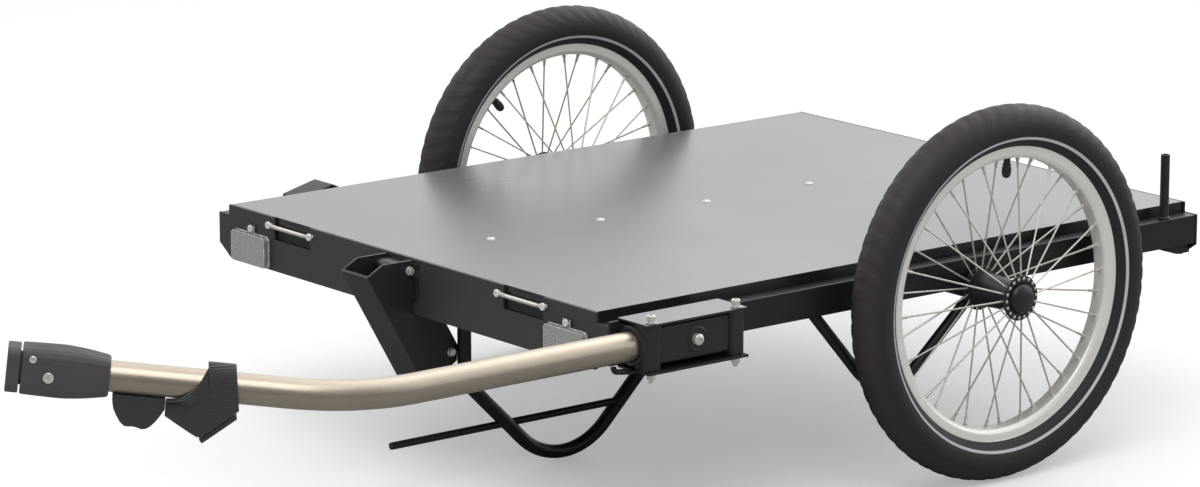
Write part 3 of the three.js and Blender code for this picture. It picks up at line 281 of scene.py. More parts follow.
# Shader helpers

def node(tree, kind, **values):
    made = tree.nodes.new("ShaderNode" + kind)
    for key, value in values.items():
        if key in made.bl_rna.properties:
            setattr(made, key, value)
        else:
            made.inputs[key.replace("_", " ")].default_value = value
    return made


def link(tree, source, target):
    tree.links.new(source, target)


def mathNode(tree, operation, first, second=None, clamp=False):
    made = node(tree, "Math", operation=operation, use_clamp=clamp)
    for socket, value in zip(made.inputs, (first, second)):
        if value is None:
            continue
        if isinstance(value, (int, float)):
            socket.default_value = value
        else:
            link(tree, value, socket)
    return made.outputs[0]


def mixColours(tree, mask, first, second):
    made = node(tree, "Mix", data_type="RGBA")
    link(tree, mask, made.inputs["Factor"])
    for socket, value in ((made.inputs[6], first), (made.inputs[7], second)):
        if isinstance(value, (tuple, list)):
            socket.default_value = (*value[:3], 1)
        else:
            link(tree, value, socket)
    return made.outputs[2]


def rangeMap(tree, value, low, high, toLow, toHigh):
    made = node(tree, "MapRange")
    made.inputs["From Min"].default_value = low
    made.inputs["From Max"].default_value = high
    made.inputs["To Min"].default_value = toLow
    made.inputs["To Max"].default_value = toHigh
    link(tree, value, made.inputs["Value"])
    return made.outputs["Result"]


def objectPlace(tree):
    return node(tree, "TexCoord").outputs["Object"]


def noiseNode(tree, place, **values):
    made = node(tree, "TexNoise", **values)
    link(tree, place, made.inputs["Vector"])
    return made


def splitUp(tree, source):
    # the three parts of a vector
    made = node(tree, "SeparateXYZ")
    link(tree, source, made.inputs["Vector"])
    return made.outputs


def newGroup(name, inputs, outputs):
    group = bpy.data.node_groups.new(name, "ShaderNodeTree")
    for socketName, kind, value in inputs:
        socket = group.interface.new_socket(socketName, in_out="INPUT", socket_type="NodeSocket" + kind)
        socket.default_value = value
    for socketName, kind in outputs:
        group.interface.new_socket(socketName, in_out="OUTPUT", socket_type="NodeSocket" + kind)
    return group, group.nodes.new("NodeGroupInput"), group.nodes.new("NodeGroupOutput")


def grainGroup():
    # fine surface grain with slow changes in gloss
    group, ins, outs = newGroup("surfaceGrain", [("Grain Scale", "Float", 900.0), ("Patch Scale", "Float", 9.0)],
                                [("Height", "Float"), ("Patches", "Float")])
    place = objectPlace(group)
    fine = noiseNode(group, place, Detail=3.0, Roughness=0.6)
    broad = noiseNode(group, place, Detail=6.0, Roughness=0.65)
    link(group, ins.outputs["Grain Scale"], fine.inputs["Scale"])
    link(group, ins.outputs["Patch Scale"], broad.inputs["Scale"])
    link(group, fine.outputs["Fac"], outs.inputs["Height"])
    link(group, broad.outputs["Fac"], outs.inputs["Patches"])
    return group


def edgeWearGlintGroup():
    # where a corner rubs, and where the lens rim takes its painted highlight: the rounded normal turns away from the
    # face's own
    group, ins, outs = newGroup("edgeWearAndGlint", [("Width", "Float", 0.0008), ("Breakup", "Float", 60.0)],
                                [("Wear And Glint", "Float")])
    rounded = node(group, "Bevel", samples=4)
    link(group, ins.outputs["Width"], rounded.inputs["Radius"])
    geometry = node(group, "NewGeometry")
    dot = node(group, "VectorMath", operation="DOT_PRODUCT")
    link(group, rounded.outputs["Normal"], dot.inputs[0])
    link(group, geometry.outputs["Normal"], dot.inputs[1])
    noise = noiseNode(group, objectPlace(group), Detail=4.0)
    link(group, ins.outputs["Breakup"], noise.inputs["Scale"])
    edge = rangeMap(group, dot.outputs["Value"], 0.99, 0.86, 0.0, 1.0)
    broken = rangeMap(group, noise.outputs["Fac"], 0.42, 0.62, 0.15, 1.0)
    link(group, mathNode(group, "MULTIPLY", edge, broken, True), outs.inputs["Wear And Glint"])
    return group


def scuffGroup():
    # thin scratches in stretched noise
    group, ins, outs = newGroup("scuffMarks", [("Scale", "Float", 14.0), ("Amount", "Float", 0.7)],
                                [("Scuffs", "Float")])
    mapping = node(group, "Mapping")
    mapping.inputs["Scale"].default_value = (1.0, 9.0, 1.0)
    mapping.inputs["Rotation"].default_value = (0.2, 0.1, 0.6)
    link(group, objectPlace(group), mapping.inputs["Vector"])
    noise = noiseNode(group, mapping.outputs["Vector"], Detail=8.0, Roughness=0.75)
    link(group, ins.outputs["Scale"], noise.inputs["Scale"])
    upper = mathNode(group, "ADD", ins.outputs["Amount"], 0.05)
    made = node(group, "MapRange")
    link(group, noise.outputs["Fac"], made.inputs["Value"])
    link(group, ins.outputs["Amount"], made.inputs["From Min"])
    link(group, upper, made.inputs["From Max"])
    link(group, made.outputs["Result"], outs.inputs["Scuffs"])
    return group


grainNodes, edgeWearGlintNodes, scuffNodes = grainGroup(), edgeWearGlintGroup(), scuffGroup()


def placeGroup(tree, group, **values):
    made = tree.nodes.new("ShaderNodeGroup")
    made.node_tree = group
    for key, value in values.items():
        made.inputs[key.replace("_", " ")].default_value = value
    return made


def startMaterial(name, look):
    # a principled material with grain in its bump and patches in its gloss
    material = bpy.data.materials.new(name)
    material.use_nodes = True
    tree = material.node_tree
    shader = tree.nodes["Principled BSDF"]
    shader.inputs["Metallic"].default_value = look.get("metal", 0.0)
    shader.inputs["Specular IOR Level"].default_value = look.get("specular", 0.5)
    shader.inputs["Coat Weight"].default_value = look.get("coat", 0.0)
    shader.inputs["Coat Roughness"].default_value = look.get("coatRough", 0.2)
    grain = placeGroup(tree, grainNodes, Grain_Scale=look["grainScale"], Patch_Scale=look["patchScale"])
    bump = node(tree, "Bump", Strength=look["bump"], Distance=look.get("bumpDepth", 0.0002))
    link(tree, grain.outputs["Height"], bump.inputs["Height"])
    link(tree, bump.outputs["Normal"], shader.inputs["Normal"])
    rough, spread = look["rough"], look["roughSpread"]
    gloss = rangeMap(tree, grain.outputs["Patches"], 0.3, 0.7, rough - spread, rough + spread)
    colour = mixColours(tree, grain.outputs["Patches"], look["dark"], look["light"])
    return material, tree, shader, grain, bump, gloss, colour


def endMaterial(tree, shader, colour, gloss):
    link(tree, colour, shader.inputs["Base Color"])
    link(tree, gloss, shader.inputs["Roughness"])


def coatedMetal(name, look):
    # paint over steel, rubbed thin at the corners
    material, tree, shader, grain, bump, gloss, colour = startMaterial(name, look)
    wear = placeGroup(tree, edgeWearGlintNodes, Width=look["wearWidth"], Breakup=look["wearBreakup"])
    scuff = placeGroup(tree, scuffNodes, Scale=look["scuffScale"], Amount=look["scuffAmount"])
    rubbed = mathNode(tree, "MULTIPLY", wear.outputs["Wear And Glint"], look["wearShare"], True)
    marked = mathNode(tree, "MULTIPLY", scuff.outputs["Scuffs"], look["scuffShare"], True)
    colour = mixColours(tree, rubbed, colour, look["under"])
    colour = mixColours(tree, marked, colour, look["scuffColour"])
    if "edge" in look:
        # faces that don't face up, the cut edge and the underside, keep the panel's own dark colour; the lighter grey
        # of the top stands partly for the sheen of the dark panel at a low angle, a painted reflection
        up = splitUp(tree, node(tree, "NewGeometry").outputs["Normal"])[2]
        colour = mixColours(tree, rangeMap(tree, up, 0.5, 0.85, 0.0, 1.0), look["edge"], colour)
    endMaterial(tree, shader, colour, gloss)
    return material


def bareMetal(name, look):
    # drawn or turned metal with fine lines along one direction
    material, tree, shader, grain, bump, gloss, colour = startMaterial(name, look)
    mapping = node(tree, "Mapping")
    mapping.inputs["Scale"].default_value = look["lineStretch"]
    link(tree, objectPlace(tree), mapping.inputs["Vector"])
    lines = noiseNode(tree, mapping.outputs["Vector"], Scale=look["lineScale"], Detail=5.0)
    height = mathNode(tree, "ADD", grain.outputs["Height"], lines.outputs["Fac"])
    link(tree, height, bump.inputs["Height"])
    scuff = placeGroup(tree, scuffNodes, Scale=look["scuffScale"], Amount=look["scuffAmount"])
    marked = mathNode(tree, "MULTIPLY", scuff.outputs["Scuffs"], look["scuffShare"], True)
    streaks = rangeMap(tree, lines.outputs["Fac"], 0.35, 0.65, 0.0, 0.25)
    colour = mixColours(tree, streaks, colour, look["under"])
    colour = mixColours(tree, marked, colour, look["scuffColour"])
    gloss = mathNode(tree, "ADD", gloss, mathNode(tree, "MULTIPLY", marked, 0.25), True)
    endMaterial(tree, shader, colour, gloss)
    return material


coatLook = {"dark": (0.0075, 0.0068, 0.0066), "light": (0.013, 0.0115, 0.011), "under": (0.10, 0.095, 0.09),
            "scuffColour": (0.07, 0.065, 0.06), "rough": 0.40, "roughSpread": 0.06, "grainScale": 1400.0,
            "patchScale": 7.0, "bump": 0.12, "wearWidth": 0.0007, "wearBreakup": 70.0, "wearShare": 0.3,
            "scuffScale": 9.0, "scuffAmount": 0.74, "scuffShare": 0.25, "specular": 0.45}
# the front plate's powder coat, made lighter for the front light it catches: painted light on a lit copy of the coat
frontLookPaintedLight = dict(coatLook, dark=(0.036, 0.032, 0.030), light=(0.050, 0.045, 0.043), rough=0.46)
pocketLook = dict(coatLook, dark=(0.013, 0.012, 0.014), light=(0.021, 0.020, 0.023), wearWidth=0.0016, wearShare=0.5)
# the top colours are lighter than the dark panel itself: partly its own colour, partly a painted reflection of its
# sheen at a low angle
deckLookPaintedSheen = {"dark": (0.165, 0.170, 0.170), "light": (0.205, 0.212, 0.212), "under": (0.12, 0.11, 0.10),
            "scuffColour": (0.30, 0.30, 0.30), "rough": 0.30, "roughSpread": 0.035, "grainScale": 700.0,
            "patchScale": 3.5, "bump": 0.05, "wearWidth": 0.0009, "wearBreakup": 40.0, "wearShare": 0.15,
            "scuffScale": 5.0, "scuffAmount": 0.76, "scuffShare": 0.12, "specular": 0.62,
            "edge": (0.012, 0.011, 0.011)}
plasticLook = {"dark": (0.012, 0.012, 0.0135), "light": (0.019, 0.019, 0.021), "under": (0.07, 0.07, 0.075),
               "scuffColour": (0.07, 0.07, 0.07), "rough": 0.36, "roughSpread": 0.05, "grainScale": 1800.0,
               "patchScale": 16.0, "bump": 0.10, "wearWidth": 0.0006, "wearBreakup": 90.0, "wearShare": 0.25,
               "scuffScale": 20.0, "scuffAmount": 0.75, "scuffShare": 0.25}
greyLook = dict(plasticLook, dark=(0.026, 0.026, 0.029), light=(0.040, 0.040, 0.044))
hitchLook = {"dark": (0.048, 0.044, 0.046), "light": (0.070, 0.065, 0.068), "under": (0.13, 0.125, 0.125),
             "scuffColour": (0.15, 0.15, 0.15), "rough": 0.58, "roughSpread": 0.06, "grainScale": 1200.0,
             "patchScale": 22.0, "bump": 0.16, "wearWidth": 0.0012, "wearBreakup": 60.0, "wearShare": 0.3,
             "scuffScale": 24.0, "scuffAmount": 0.72, "scuffShare": 0.25}
zincLook = {"dark": (0.66, 0.64, 0.60), "light": (0.82, 0.80, 0.76), "under": (0.50, 0.47, 0.42), "metal": 0.6,
            "scuffColour": (0.42, 0.38, 0.33), "rough": 0.27, "roughSpread": 0.06, "grainScale": 1500.0,
            "patchScale": 120.0, "bump": 0.05, "lineStretch": (1, 1, 1), "lineScale": 700.0, "scuffScale": 60.0,
            "scuffAmount": 0.7, "scuffShare": 0.3}
# a lighter, less metallic copy of the zinc, so the screw heads show white where they would catch a bright reflection:
# partly their own pale zinc, partly painted reflection
zincLookPaintedReflection = dict(zincLook, metal=0.25, dark=(0.78, 0.77, 0.74), light=(0.92, 0.91, 0.89), rough=0.35)
spokeLook = dict(zincLook, dark=(0.58, 0.55, 0.50), light=(0.78, 0.75, 0.69), rough=0.24)
rimLook = dict(zincLook, metal=0.35, dark=(0.82, 0.80, 0.76), light=(0.92, 0.90, 0.86), under=(0.74, 0.71, 0.66),
               scuffColour=(0.55, 0.51, 0.46), rough=0.36, patchScale=12.0, scuffScale=25.0, scuffAmount=0.72,
               scuffShare=0.35, lineStretch=(14, 1, 1), lineScale=160.0)
drawbarLook = dict(zincLook, metal=0.9, dark=(0.42, 0.365, 0.29), light=(0.60, 0.53, 0.44), under=(0.24, 0.20, 0.16),
                   scuffColour=(0.90, 0.88, 0.83), rough=0.33, roughSpread=0.05, patchScale=6.0,
                   lineStretch=(14, 1, 14), lineScale=90.0, scuffScale=17.0, scuffAmount=0.73, scuffShare=0.7)

powderCoat = coatedMetal("powderCoat", coatLook)
deckFilmPaintedSheen = coatedMetal("deckFilmPaintedSheen", deckLookPaintedSheen)
frontCoatPaintedLight = coatedMetal("frontCoatPaintedLight", frontLookPaintedLight)
pocketCoat = coatedMetal("pocketCoat", pocketLook)
blackPlastic = coatedMetal("blackPlastic", plasticLook)
greyPlastic = coatedMetal("greyPlastic", greyLook)
hitchRubber = coatedMetal("hitchRubber", hitchLook)
brightZinc = bareMetal("brightZinc", zincLook)
paleZincPaintedReflection = bareMetal("paleZincPaintedReflection", zincLookPaintedReflection)
drawnSteel = bareMetal("drawnSteel", spokeLook)
machinedRim = bareMetal("machinedRim", rimLook)
champagneTube = bareMetal("champagneTube", drawbarLook)


def tyreMaterial():
    # tread blocks brown with road dust, sidewalls darker with a pale reflective stripe
    look = {"dark": (0.012, 0.011, 0.011), "light": (0.021, 0.019, 0.019), "rough": 0.62, "roughSpread": 0.08,
            "grainScale": 1100.0, "patchScale": 14.0, "bump": 0.25, "treadColour": (0.030, 0.0235, 0.0215),
            "stripeColour": (0.52, 0.54, 0.57), "stripe": (165.0, 167.9), "treadFrom": 184.0, "treadTo": 196.0,
            "hatch": (176.0, 193.0), "hatchPitch": 1.5}
    material, tree, shader, grain, bump, gloss, colour = startMaterial("tyreRubber", look)
    place = node(tree, "Mapping")
    place.inputs["Location"].default_value = (0, -axleSpot.y, -axleSpot.z)
    link(tree, objectPlace(tree), place.inputs["Vector"])
    spread = splitUp(tree, place.outputs["Vector"])
    squares = [mathNode(tree, "MULTIPLY", spread[i], spread[i]) for i in (1, 2)]
    radius = mathNode(tree, "SQRT", mathNode(tree, "ADD", squares[0], squares[1]))
    radius = mathNode(tree, "MULTIPLY", radius, 1000.0)
    tread = rangeMap(tree, radius, look["treadFrom"], look["treadTo"], 0.0, 1.0)
    dusty = mathNode(tree, "MULTIPLY", tread, rangeMap(tree, grain.outputs["Patches"], 0.3, 0.6, 0.55, 1.0), True)
    colour = mixColours(tree, dusty, colour, look["treadColour"])
    low, high = look["stripe"]
    rise = rangeMap(tree, radius, low - 0.2, low + 0.2, 0.0, 1.0)
    fall = rangeMap(tree, radius, high - 0.2, high + 0.2, 1.0, 0.0)
    stripe = mathNode(tree, "MULTIPLY", rise, fall, True)
    worn = rangeMap(tree, grain.outputs["Patches"], 0.25, 0.6, 0.78, 1.0)
    colour = mixColours(tree, mathNode(tree, "MULTIPLY", stripe, worn, True), colour, look["stripeColour"])
    low, high = look["hatch"]
    band = mathNode(tree, "MULTIPLY", rangeMap(tree, radius, low, low + 3, 0.0, 1.0),
                    rangeMap(tree, radius, high - 3, high, 1.0, 0.0))
    ribs = mathNode(tree, "SINE", mathNode(tree, "MULTIPLY", radius, math.tau / look["hatchPitch"]))
    height = mathNode(tree, "ADD", grain.outputs["Height"], mathNode(tree, "MULTIPLY", ribs, band))
    link(tree, height, bump.inputs["Height"])
    endMaterial(tree, shader, colour, gloss)
    return material


def webbingMaterial():
    # black webbing with ribs across it
    look = {"dark": (0.008, 0.008, 0.009), "light": (0.017, 0.017, 0.019), "rough": 0.82, "roughSpread": 0.08,
            "grainScale": 1600.0, "patchScale": 30.0, "bump": 0.6, "bumpDepth": 0.0006, "ribPitch": 2.2}
    material, tree, shader, grain, bump, gloss, colour = startMaterial("blackWebbing", look)
    shader.inputs["Sheen Weight"].default_value = 0.25
    shader.inputs["Sheen Roughness"].default_value = 0.6
    tall = splitUp(tree, objectPlace(tree))[2]
    ribs = mathNode(tree, "SINE", mathNode(tree, "MULTIPLY", tall, math.tau / look["ribPitch"] / mm))
    height = mathNode(tree, "ADD", mathNode(tree, "MULTIPLY", ribs, 0.8), grain.outputs["Height"])
    link(tree, height, bump.inputs["Height"])
    lit = rangeMap(tree, ribs, -0.6, 0.8, 0.0, 0.6)
    colour = mixColours(tree, lit, colour, (0.030, 0.030, 0.033))
    endMaterial(tree, shader, colour, gloss)
    return material


def lensMaterial():
    # clear reflector lens over small prisms, with a painted highlight along its rounded rim
    look = {"dark": (0.36, 0.355, 0.34), "light": (0.50, 0.495, 0.48), "rough": 0.16, "roughSpread": 0.04,
            "grainScale": 400.0, "patchScale": 60.0, "bump": 0.7, "bumpDepth": 0.0005, "prism": 2.3, "coat": 0.6,
            "coatRough": 0.08}
    material, tree, shader, grain, bump, gloss, colour = startMaterial("clearLens", look)
    spread = splitUp(tree, objectPlace(tree))
    waves = [mathNode(tree, "ABSOLUTE", mathNode(tree, "SINE", mathNode(
        tree, "MULTIPLY", spread[i], math.pi / look["prism"] / mm))) for i in (0, 2)]
    prisms = mathNode(tree, "MULTIPLY", waves[0], waves[1])
    link(tree, mathNode(tree, "ADD", prisms, grain.outputs["Height"]), bump.inputs["Height"])
    colour = mixColours(tree, rangeMap(tree, prisms, 0.1, 0.7, 0.0, 1.0), (0.20, 0.20, 0.19), colour)
    # the rim's near-white colour is a painted highlight, a glint along the rounded edge
    rim = placeGroup(tree, edgeWearGlintNodes, Width=0.0022, Breakup=420.0)
    colour = mixColours(tree, rim.outputs["Wear And Glint"], colour, (0.92, 0.92, 0.90))
    endMaterial(tree, shader, colour, gloss)
    return material


tyreRubber, blackWebbing, clearLens = tyreMaterial(), webbingMaterial(), lensMaterial()
tubeRubber = coatedMetal("tubeRubber", dict(plasticLook, rough=0.5))
print("materials made")


# Sheet frame: plates, beams, deck and underframe with their edges broken

# the deck and the receiver's top plate take the deck film, whose top is painted lighter for its sheen
sheetPieces = {
    # the front plate takes the lit copy of the powder coat, which is painted light
    "deck_panel": (deckFilmPaintedSheen, "deck", 0.7 * mm), "front_plate": (frontCoatPaintedLight, "powder_coat", 0.5 * mm),
    "rear_plate": (powderCoat, "powder_coat", 0.5 * mm), "side_beam_left": (powderCoat, "powder_coat", 0.9 * mm),
    "side_beam_right": (powderCoat, "powder_coat", 0.9 * mm), "underframe": (powderCoat, "powder_coat", 0.6 * mm),
    "receiver_top_plate": (deckFilmPaintedSheen, "powder_coat", 0.6 * mm), "pocket": (pocketCoat, "powder_coat", 1.0 * mm),
    "side_bracket_right": (powderCoat, "powder_coat", 1.2 * mm),
}
for name, (material, slotName, width) in sheetPieces.items():
    obj = softCopy(name, name + "_edged", width)
    finishPiece(obj, name, "edged", material, 30)
print("sheet frame made")


# Bent tubes: drawbar, braces and stand

drawbar = {"x": 361.0, "z": 216.5, "rear": -362.0, "bendAt": -822.0, "bend": 218.7, "turn": 33.5, "rise": 7.0,
           "reach": 330.5, "radius": 15.0, "wall": 2.5, "hitch": 97.0, "grip": 46.0}
turn, rise = math.radians(drawbar["turn"]), math.radians(drawbar["rise"])
hitchWay = Vector((-math.sin(turn) * math.cos(rise), -math.cos(turn) * math.cos(rise), math.sin(rise)))
hitchTip = at(drawbar["x"], drawbar["bendAt"], drawbar["z"]) + hitchWay * drawbar["reach"] * mm


def openEnds(obj, wall, depth, ends):
    # bore into the flat ends of a tube
    for spot, way in ends:
        openMesh(obj)
        pick(obj, "FACE", lambda face: (face.calc_center_median() - spot).length < 0.3 * mm
             and abs(face.normal.dot(way)) > 0.99)
        bpy.ops.mesh.inset(thickness=wall, depth=0)
        extrude(-way * depth)
        closeMesh()


def makeDrawbar():
    d = drawbar
    rear = at(d["x"], d["rear"], d["z"])
    front = hitchTip - hitchWay * (d["hitch"] - d["grip"]) * mm
    obj = drawOut([rear, at(d["x"], d["bendAt"], d["z"]), front], [d["bend"] * mm], d["radius"] * mm, 64, 3)
    openEnds(obj, d["wall"] * mm, 0.03, [(rear, Vector((0, 1, 0))), (front, hitchWay)])
    finishPiece(obj, "drawbar_tube", "bent", champagneTube, 40)


def makeBraces():
    d = {"x": 329.9, "top": 207.6, "topAt": -227.0, "run": 28.0, "lowAt": -122.4, "low": 88.2, "radius": 6.0,
         "end": 193.0, "bends": (22.0, 60.0)}
    for side, sign in (("left", 1), ("right", -1)):
        x = sign * d["x"]
        obj = drawOut([at(x, d["topAt"] - d["run"], d["top"]), at(x, d["topAt"], d["top"]),
                       at(x, d["lowAt"], d["low"]), at(x, -9, d["end"] - 8)],
                      [b * mm for b in d["bends"]], d["radius"] * mm, 32, 5)
        bevelEdges(obj, 0.6 * mm, 2, 50)
        finishPiece(obj, f"axle_brace_{side}", "bent", powderCoat, 40)


def makeStand():
    d = {"x": 23.0, "y": -306.0, "spread": 132.2, "radius": 7.4, "angle": 44.5, "lowBend": 80.0, "highBend": 24.0,
         "pivotX": 31.0, "pivotZ": 216.5, "barrelRadius": 8.0, "barrelLength": 26.0, "pinHole": 4.4, "rodRadius": 4.0,
         "rodZ": 50.5, "rodFront": -535.0, "rodRear": -222.0}
    angle = math.radians(d["angle"])
    low = d["radius"] - d["lowBend"] * (1 / math.cos(angle) - 1)
    high = low + d["spread"] * math.tan(angle)
    ends = [d["y"] - d["spread"], d["y"] + d["spread"]]
    tube = drawOut([at(d["x"], ends[0], d["pivotZ"]), at(d["x"], ends[0], high), at(d["x"], d["y"], low),
                    at(d["x"], ends[1], high), at(d["x"], ends[1], d["pivotZ"])],
                   [d["highBend"] * mm, d["lowBend"] * mm, d["highBend"] * mm], d["radius"] * mm, 40, 4)
    bevelEdges(tube, 0.8 * mm, 2, 50)
    rod = drawOut([at(d["x"], d["rodFront"], d["rodZ"]), at(d["x"], d["rodRear"], d["rodZ"])], [],
                  d["rodRadius"] * mm, 24)
    bevelEdges(rod, 0.8 * mm, 2, 50)
    half = d["barrelLength"] / 2
    barrels = [spinProfile([(-half, d["pinHole"]), (-half, d["barrelRadius"] - 0.6), (-half + 0.6, d["barrelRadius"]),
                            (half - 0.6, d["barrelRadius"]), (half, d["barrelRadius"] - 0.6), (half, d["pinHole"])],
                           at(d["pivotX"], y, d["pivotZ"]), (0, 1, 0), (0, 0, 1), 40, True) for y in ends]
    obj = joinAll([tube, rod] + barrels)
    finishPiece(obj, "stand", "bent", powderCoat, 40, "stand")


makeDrawbar()
makeBraces()
makeStand()
print("bent tubes made")


# Screws, bolts and pins

def panHead(spot, way, radius, height, shank, length, socket=1.7, flat=False):
    # a round-headed or flat-headed screw with a deep socket; way points out of the head
    way = Vector(way).normalized()
    side = way.orthogonal().normalized()
    dome = [(height * math.sin(a), radius * math.cos(a) ** 0.6) for a in (0.0, 0.35, 0.7, 1.0, 1.25)]
    if flat:
        dome = [(0, radius), (height - 0.5, radius), (height - 0.1, radius - 0.4)]
    inner = socket * 0.87
    profile = [(-length, 0), (-length, shank)] + [(0, shank)] + [(0, radius)] + dome[1:]
    obj = spinProfile(profile + [(height, inner + 0.25), (height - 0.15, inner)], spot, way, side, 24)
    openMesh(obj, "EDGE")
    bpy.ops.mesh.select_all(action="DESELECT")
    bpy.ops.mesh.select_non_manifold()
    bpy.ops.mesh.edge_face_add()
    extrude(-way * height * 0.7 * mm)
    closeMesh()
    cleanUp(obj)
    return obj


def hexPrism(spot, way, across, height):
    deselectAll()
    turn = Vector(way).to_track_quat("Z", "Y").to_euler()
    bpy.ops.mesh.primitive_cylinder_add(vertices=6, radius=across / 2 / math.cos(math.pi / 6) * mm,
                                        depth=height * mm, location=spot, rotation=turn)
    obj = newest()
    bevelEdges(obj, 0.35 * mm, 2, 40)
    return obj


def makeDeckScrews():
    d = {"radius": 4.6, "height": 1.8, "shank": 2.4, "length": 9.0}
    for i in range(1, 5):
        name = f"deck_screw_{i}"
        low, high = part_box(name)
        spot = Vector(((low.x + high.x) / 2, (low.y + high.y) / 2, high.z - d["height"] * mm))
        obj = panHead(spot, (0, 0, 1), d["radius"], d["height"], d["shank"], d["length"])
        finishPiece(obj, name, "pan", paleZincPaintedReflection)


def makePlateScrews():
    # reflector screws, and the lashing bars with the screws at their ends
    d = {"radius": 3.9, "height": 2.4, "shank": 1.9, "length": 4.6, "barRadius": 2.3, "bow": 3.0}
    for side, sign in (("left", 1), ("right", -1)):
        name = f"reflector_screw_{side}"
        low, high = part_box(name)
        spot = Vector(((low.x + high.x) / 2, low.y + d["height"] * mm, (low.z + high.z) / 2))
        obj = panHead(spot, (0, -1, 0), d["radius"], d["height"], d["shank"], d["length"], 1.5, True)
        finishPiece(obj, name, "flat", paleZincPaintedReflection)
        name = f"lashing_bar_{side}"
        low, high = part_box(name)
        spots = [Vector((x, low.y + d["height"] * mm, (low.z + high.z) / 2))
                 for x in (low.x + d["radius"] * mm, high.x - d["radius"] * mm)]
        screws = [panHead(s, (0, -1, 0), d["radius"], d["height"], d["shank"], 6.4, 1.5, True) for s in spots]
        a, b = spots
        half = (b - a) / 2
        dip = Vector((0, 2.2, -d["bow"] * 0.5)) * mm
        bar = drawOut([a, a + half * 0.35 + dip, b - half * 0.35 + dip, b], [30 * mm, 30 * mm],
                      d["barRadius"] * mm, 20, 3)
        obj = finishPiece(joinAll([bar] + screws), name, "bowed", paleZincPaintedReflection)
        obj.data.materials.append(drawnSteel)
        for face in obj.data.polygons:
            if abs(face.center.x - (a.x + b.x) / 2) < (b.x - a.x) / 2 - d["radius"] * 1.05 * mm:
                face.material_index = 1


def makeReceiverBolts():
    # socket head screws with washers above, nuts and thread ends below
    d = {"top": 241.3, "bottom": 190.5, "gap": 0.3, "radius": 2.5, "head": 4.6, "headHeight": 6.5, "washer": 5.6,
         "washerHeight": 1.4, "nut": 4.5, "tail": 3.6}
    for place in ("front", "rear"):
        name = f"receiver_bolt_{place}"
        spot = middle(name)
        spot.z = 0
        z, foot = d["top"] + d["gap"] + d["washerHeight"], d["bottom"] - d["gap"] - d["washerHeight"]
        head = panHead(spot + Vector((0, 0, z * mm)), (0, 0, 1), d["head"], 0.4, d["radius"],
                       z - foot + d["nut"] + d["tail"], 2.0)
        cap = spinProfile([(0, 2.9), (0, d["head"]), (d["headHeight"] - 0.6, d["head"]),
                           (d["headHeight"], d["head"] - 0.6), (d["headHeight"], 2.6), (3.4, 2.5), (3.4, 0)],
                          spot + Vector((0, 0, z * mm)), (0, 0, 1), (1, 0, 0), 40)
        washers = [spinProfile([(0, d["radius"]), (0.2, d["washer"]), (d["washerHeight"] - 0.2, d["washer"]),
                                (d["washerHeight"], d["washer"] - 0.3), (d["washerHeight"], d["radius"])],
                               spot + Vector((0, 0, h * mm)), (0, 0, 1), (1, 0, 0), 40, True)
                   for h in (z - d["washerHeight"], foot)]
        nut = hexPrism(spot + Vector((0, 0, (foot - d["nut"] / 2) * mm)), (0, 0, 1), 8.0, d["nut"])
        obj = joinAll([head, cap, nut] + washers)
        finishPiece(obj, name, "capped", brightZinc)


def makePocketBolts():
    d = {"half": 23.8, "radius": 3.0, "head": 8.6, "headHeight": 3.0, "washer": 4.9, "washerHeight": 1.0}
    for place in ("upper", "lower"):
        name = f"pocket_bolt_{place}"
        spot = middle(name)
        parts = []
        for sign in (1, -1):
            out = Vector((sign, 0, 0))
            face = spot + out * d["half"] * mm
            parts.append(hexPrism(face + out * (d["washerHeight"] + d["headHeight"] / 2) * mm, out, d["head"] * 0.9,
                                  d["headHeight"]))
            parts.append(spinProfile([(0, d["radius"]), (0, d["washer"]), (d["washerHeight"], d["washer"] - 0.2),
                                      (d["washerHeight"], d["radius"])], face, out, (0, 0, 1), 32, True))
            parts.append(spinProfile([(d["washerHeight"] + d["headHeight"] - 0.4, d["radius"] - 0.3),
                                      (d["washerHeight"] + d["headHeight"] + 0.8, d["radius"] - 0.3),
                                      (d["washerHeight"] + d["headHeight"] + 1.0, 0)], face, out, (0, 0, 1), 24))
        shank = drawOut([spot - Vector((d["half"] * mm, 0, 0)), spot + Vector((d["half"] * mm, 0, 0))], [],
                        d["radius"] * mm, 24)
        finishPiece(joinAll([shank] + parts), name, "hex", brightZinc)


def makeStandPins():
    d = {"radius": 4.0, "head": 6.5, "headHeight": 3.0}
    for place in ("front", "rear"):
        name = f"stand_pin_{place}"
        low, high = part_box(name)
        half = (high.y - low.y) / 2 / mm
        spot = middle(name)
        profile = [(-half, 0), (-half, d["head"] - 0.8), (-half + 0.8, d["head"]),
                   (-half + d["headHeight"], d["head"]), (-half + d["headHeight"], d["radius"]),
                   (half - d["headHeight"], d["radius"]), (half - d["headHeight"], d["head"]),
                   (half - 0.8, d["head"]), (half, d["head"] - 0.8), (half, 0)]
        obj = spinProfile(profile, spot, (0, 1, 0), (0, 0, 1), 32)
        finishPiece(obj, name, "turned", brightZinc)


makeDeckScrews()
makePlateScrews()
makeReceiverBolts()
makePocketBolts()
makeStandPins()
print("fasteners made")


# Drawbar receiver

def everyEdge(edge):
    return True


def upright(edge):
    a, b = edge.verts
    return abs(a.co.z - b.co.z) > 0.005


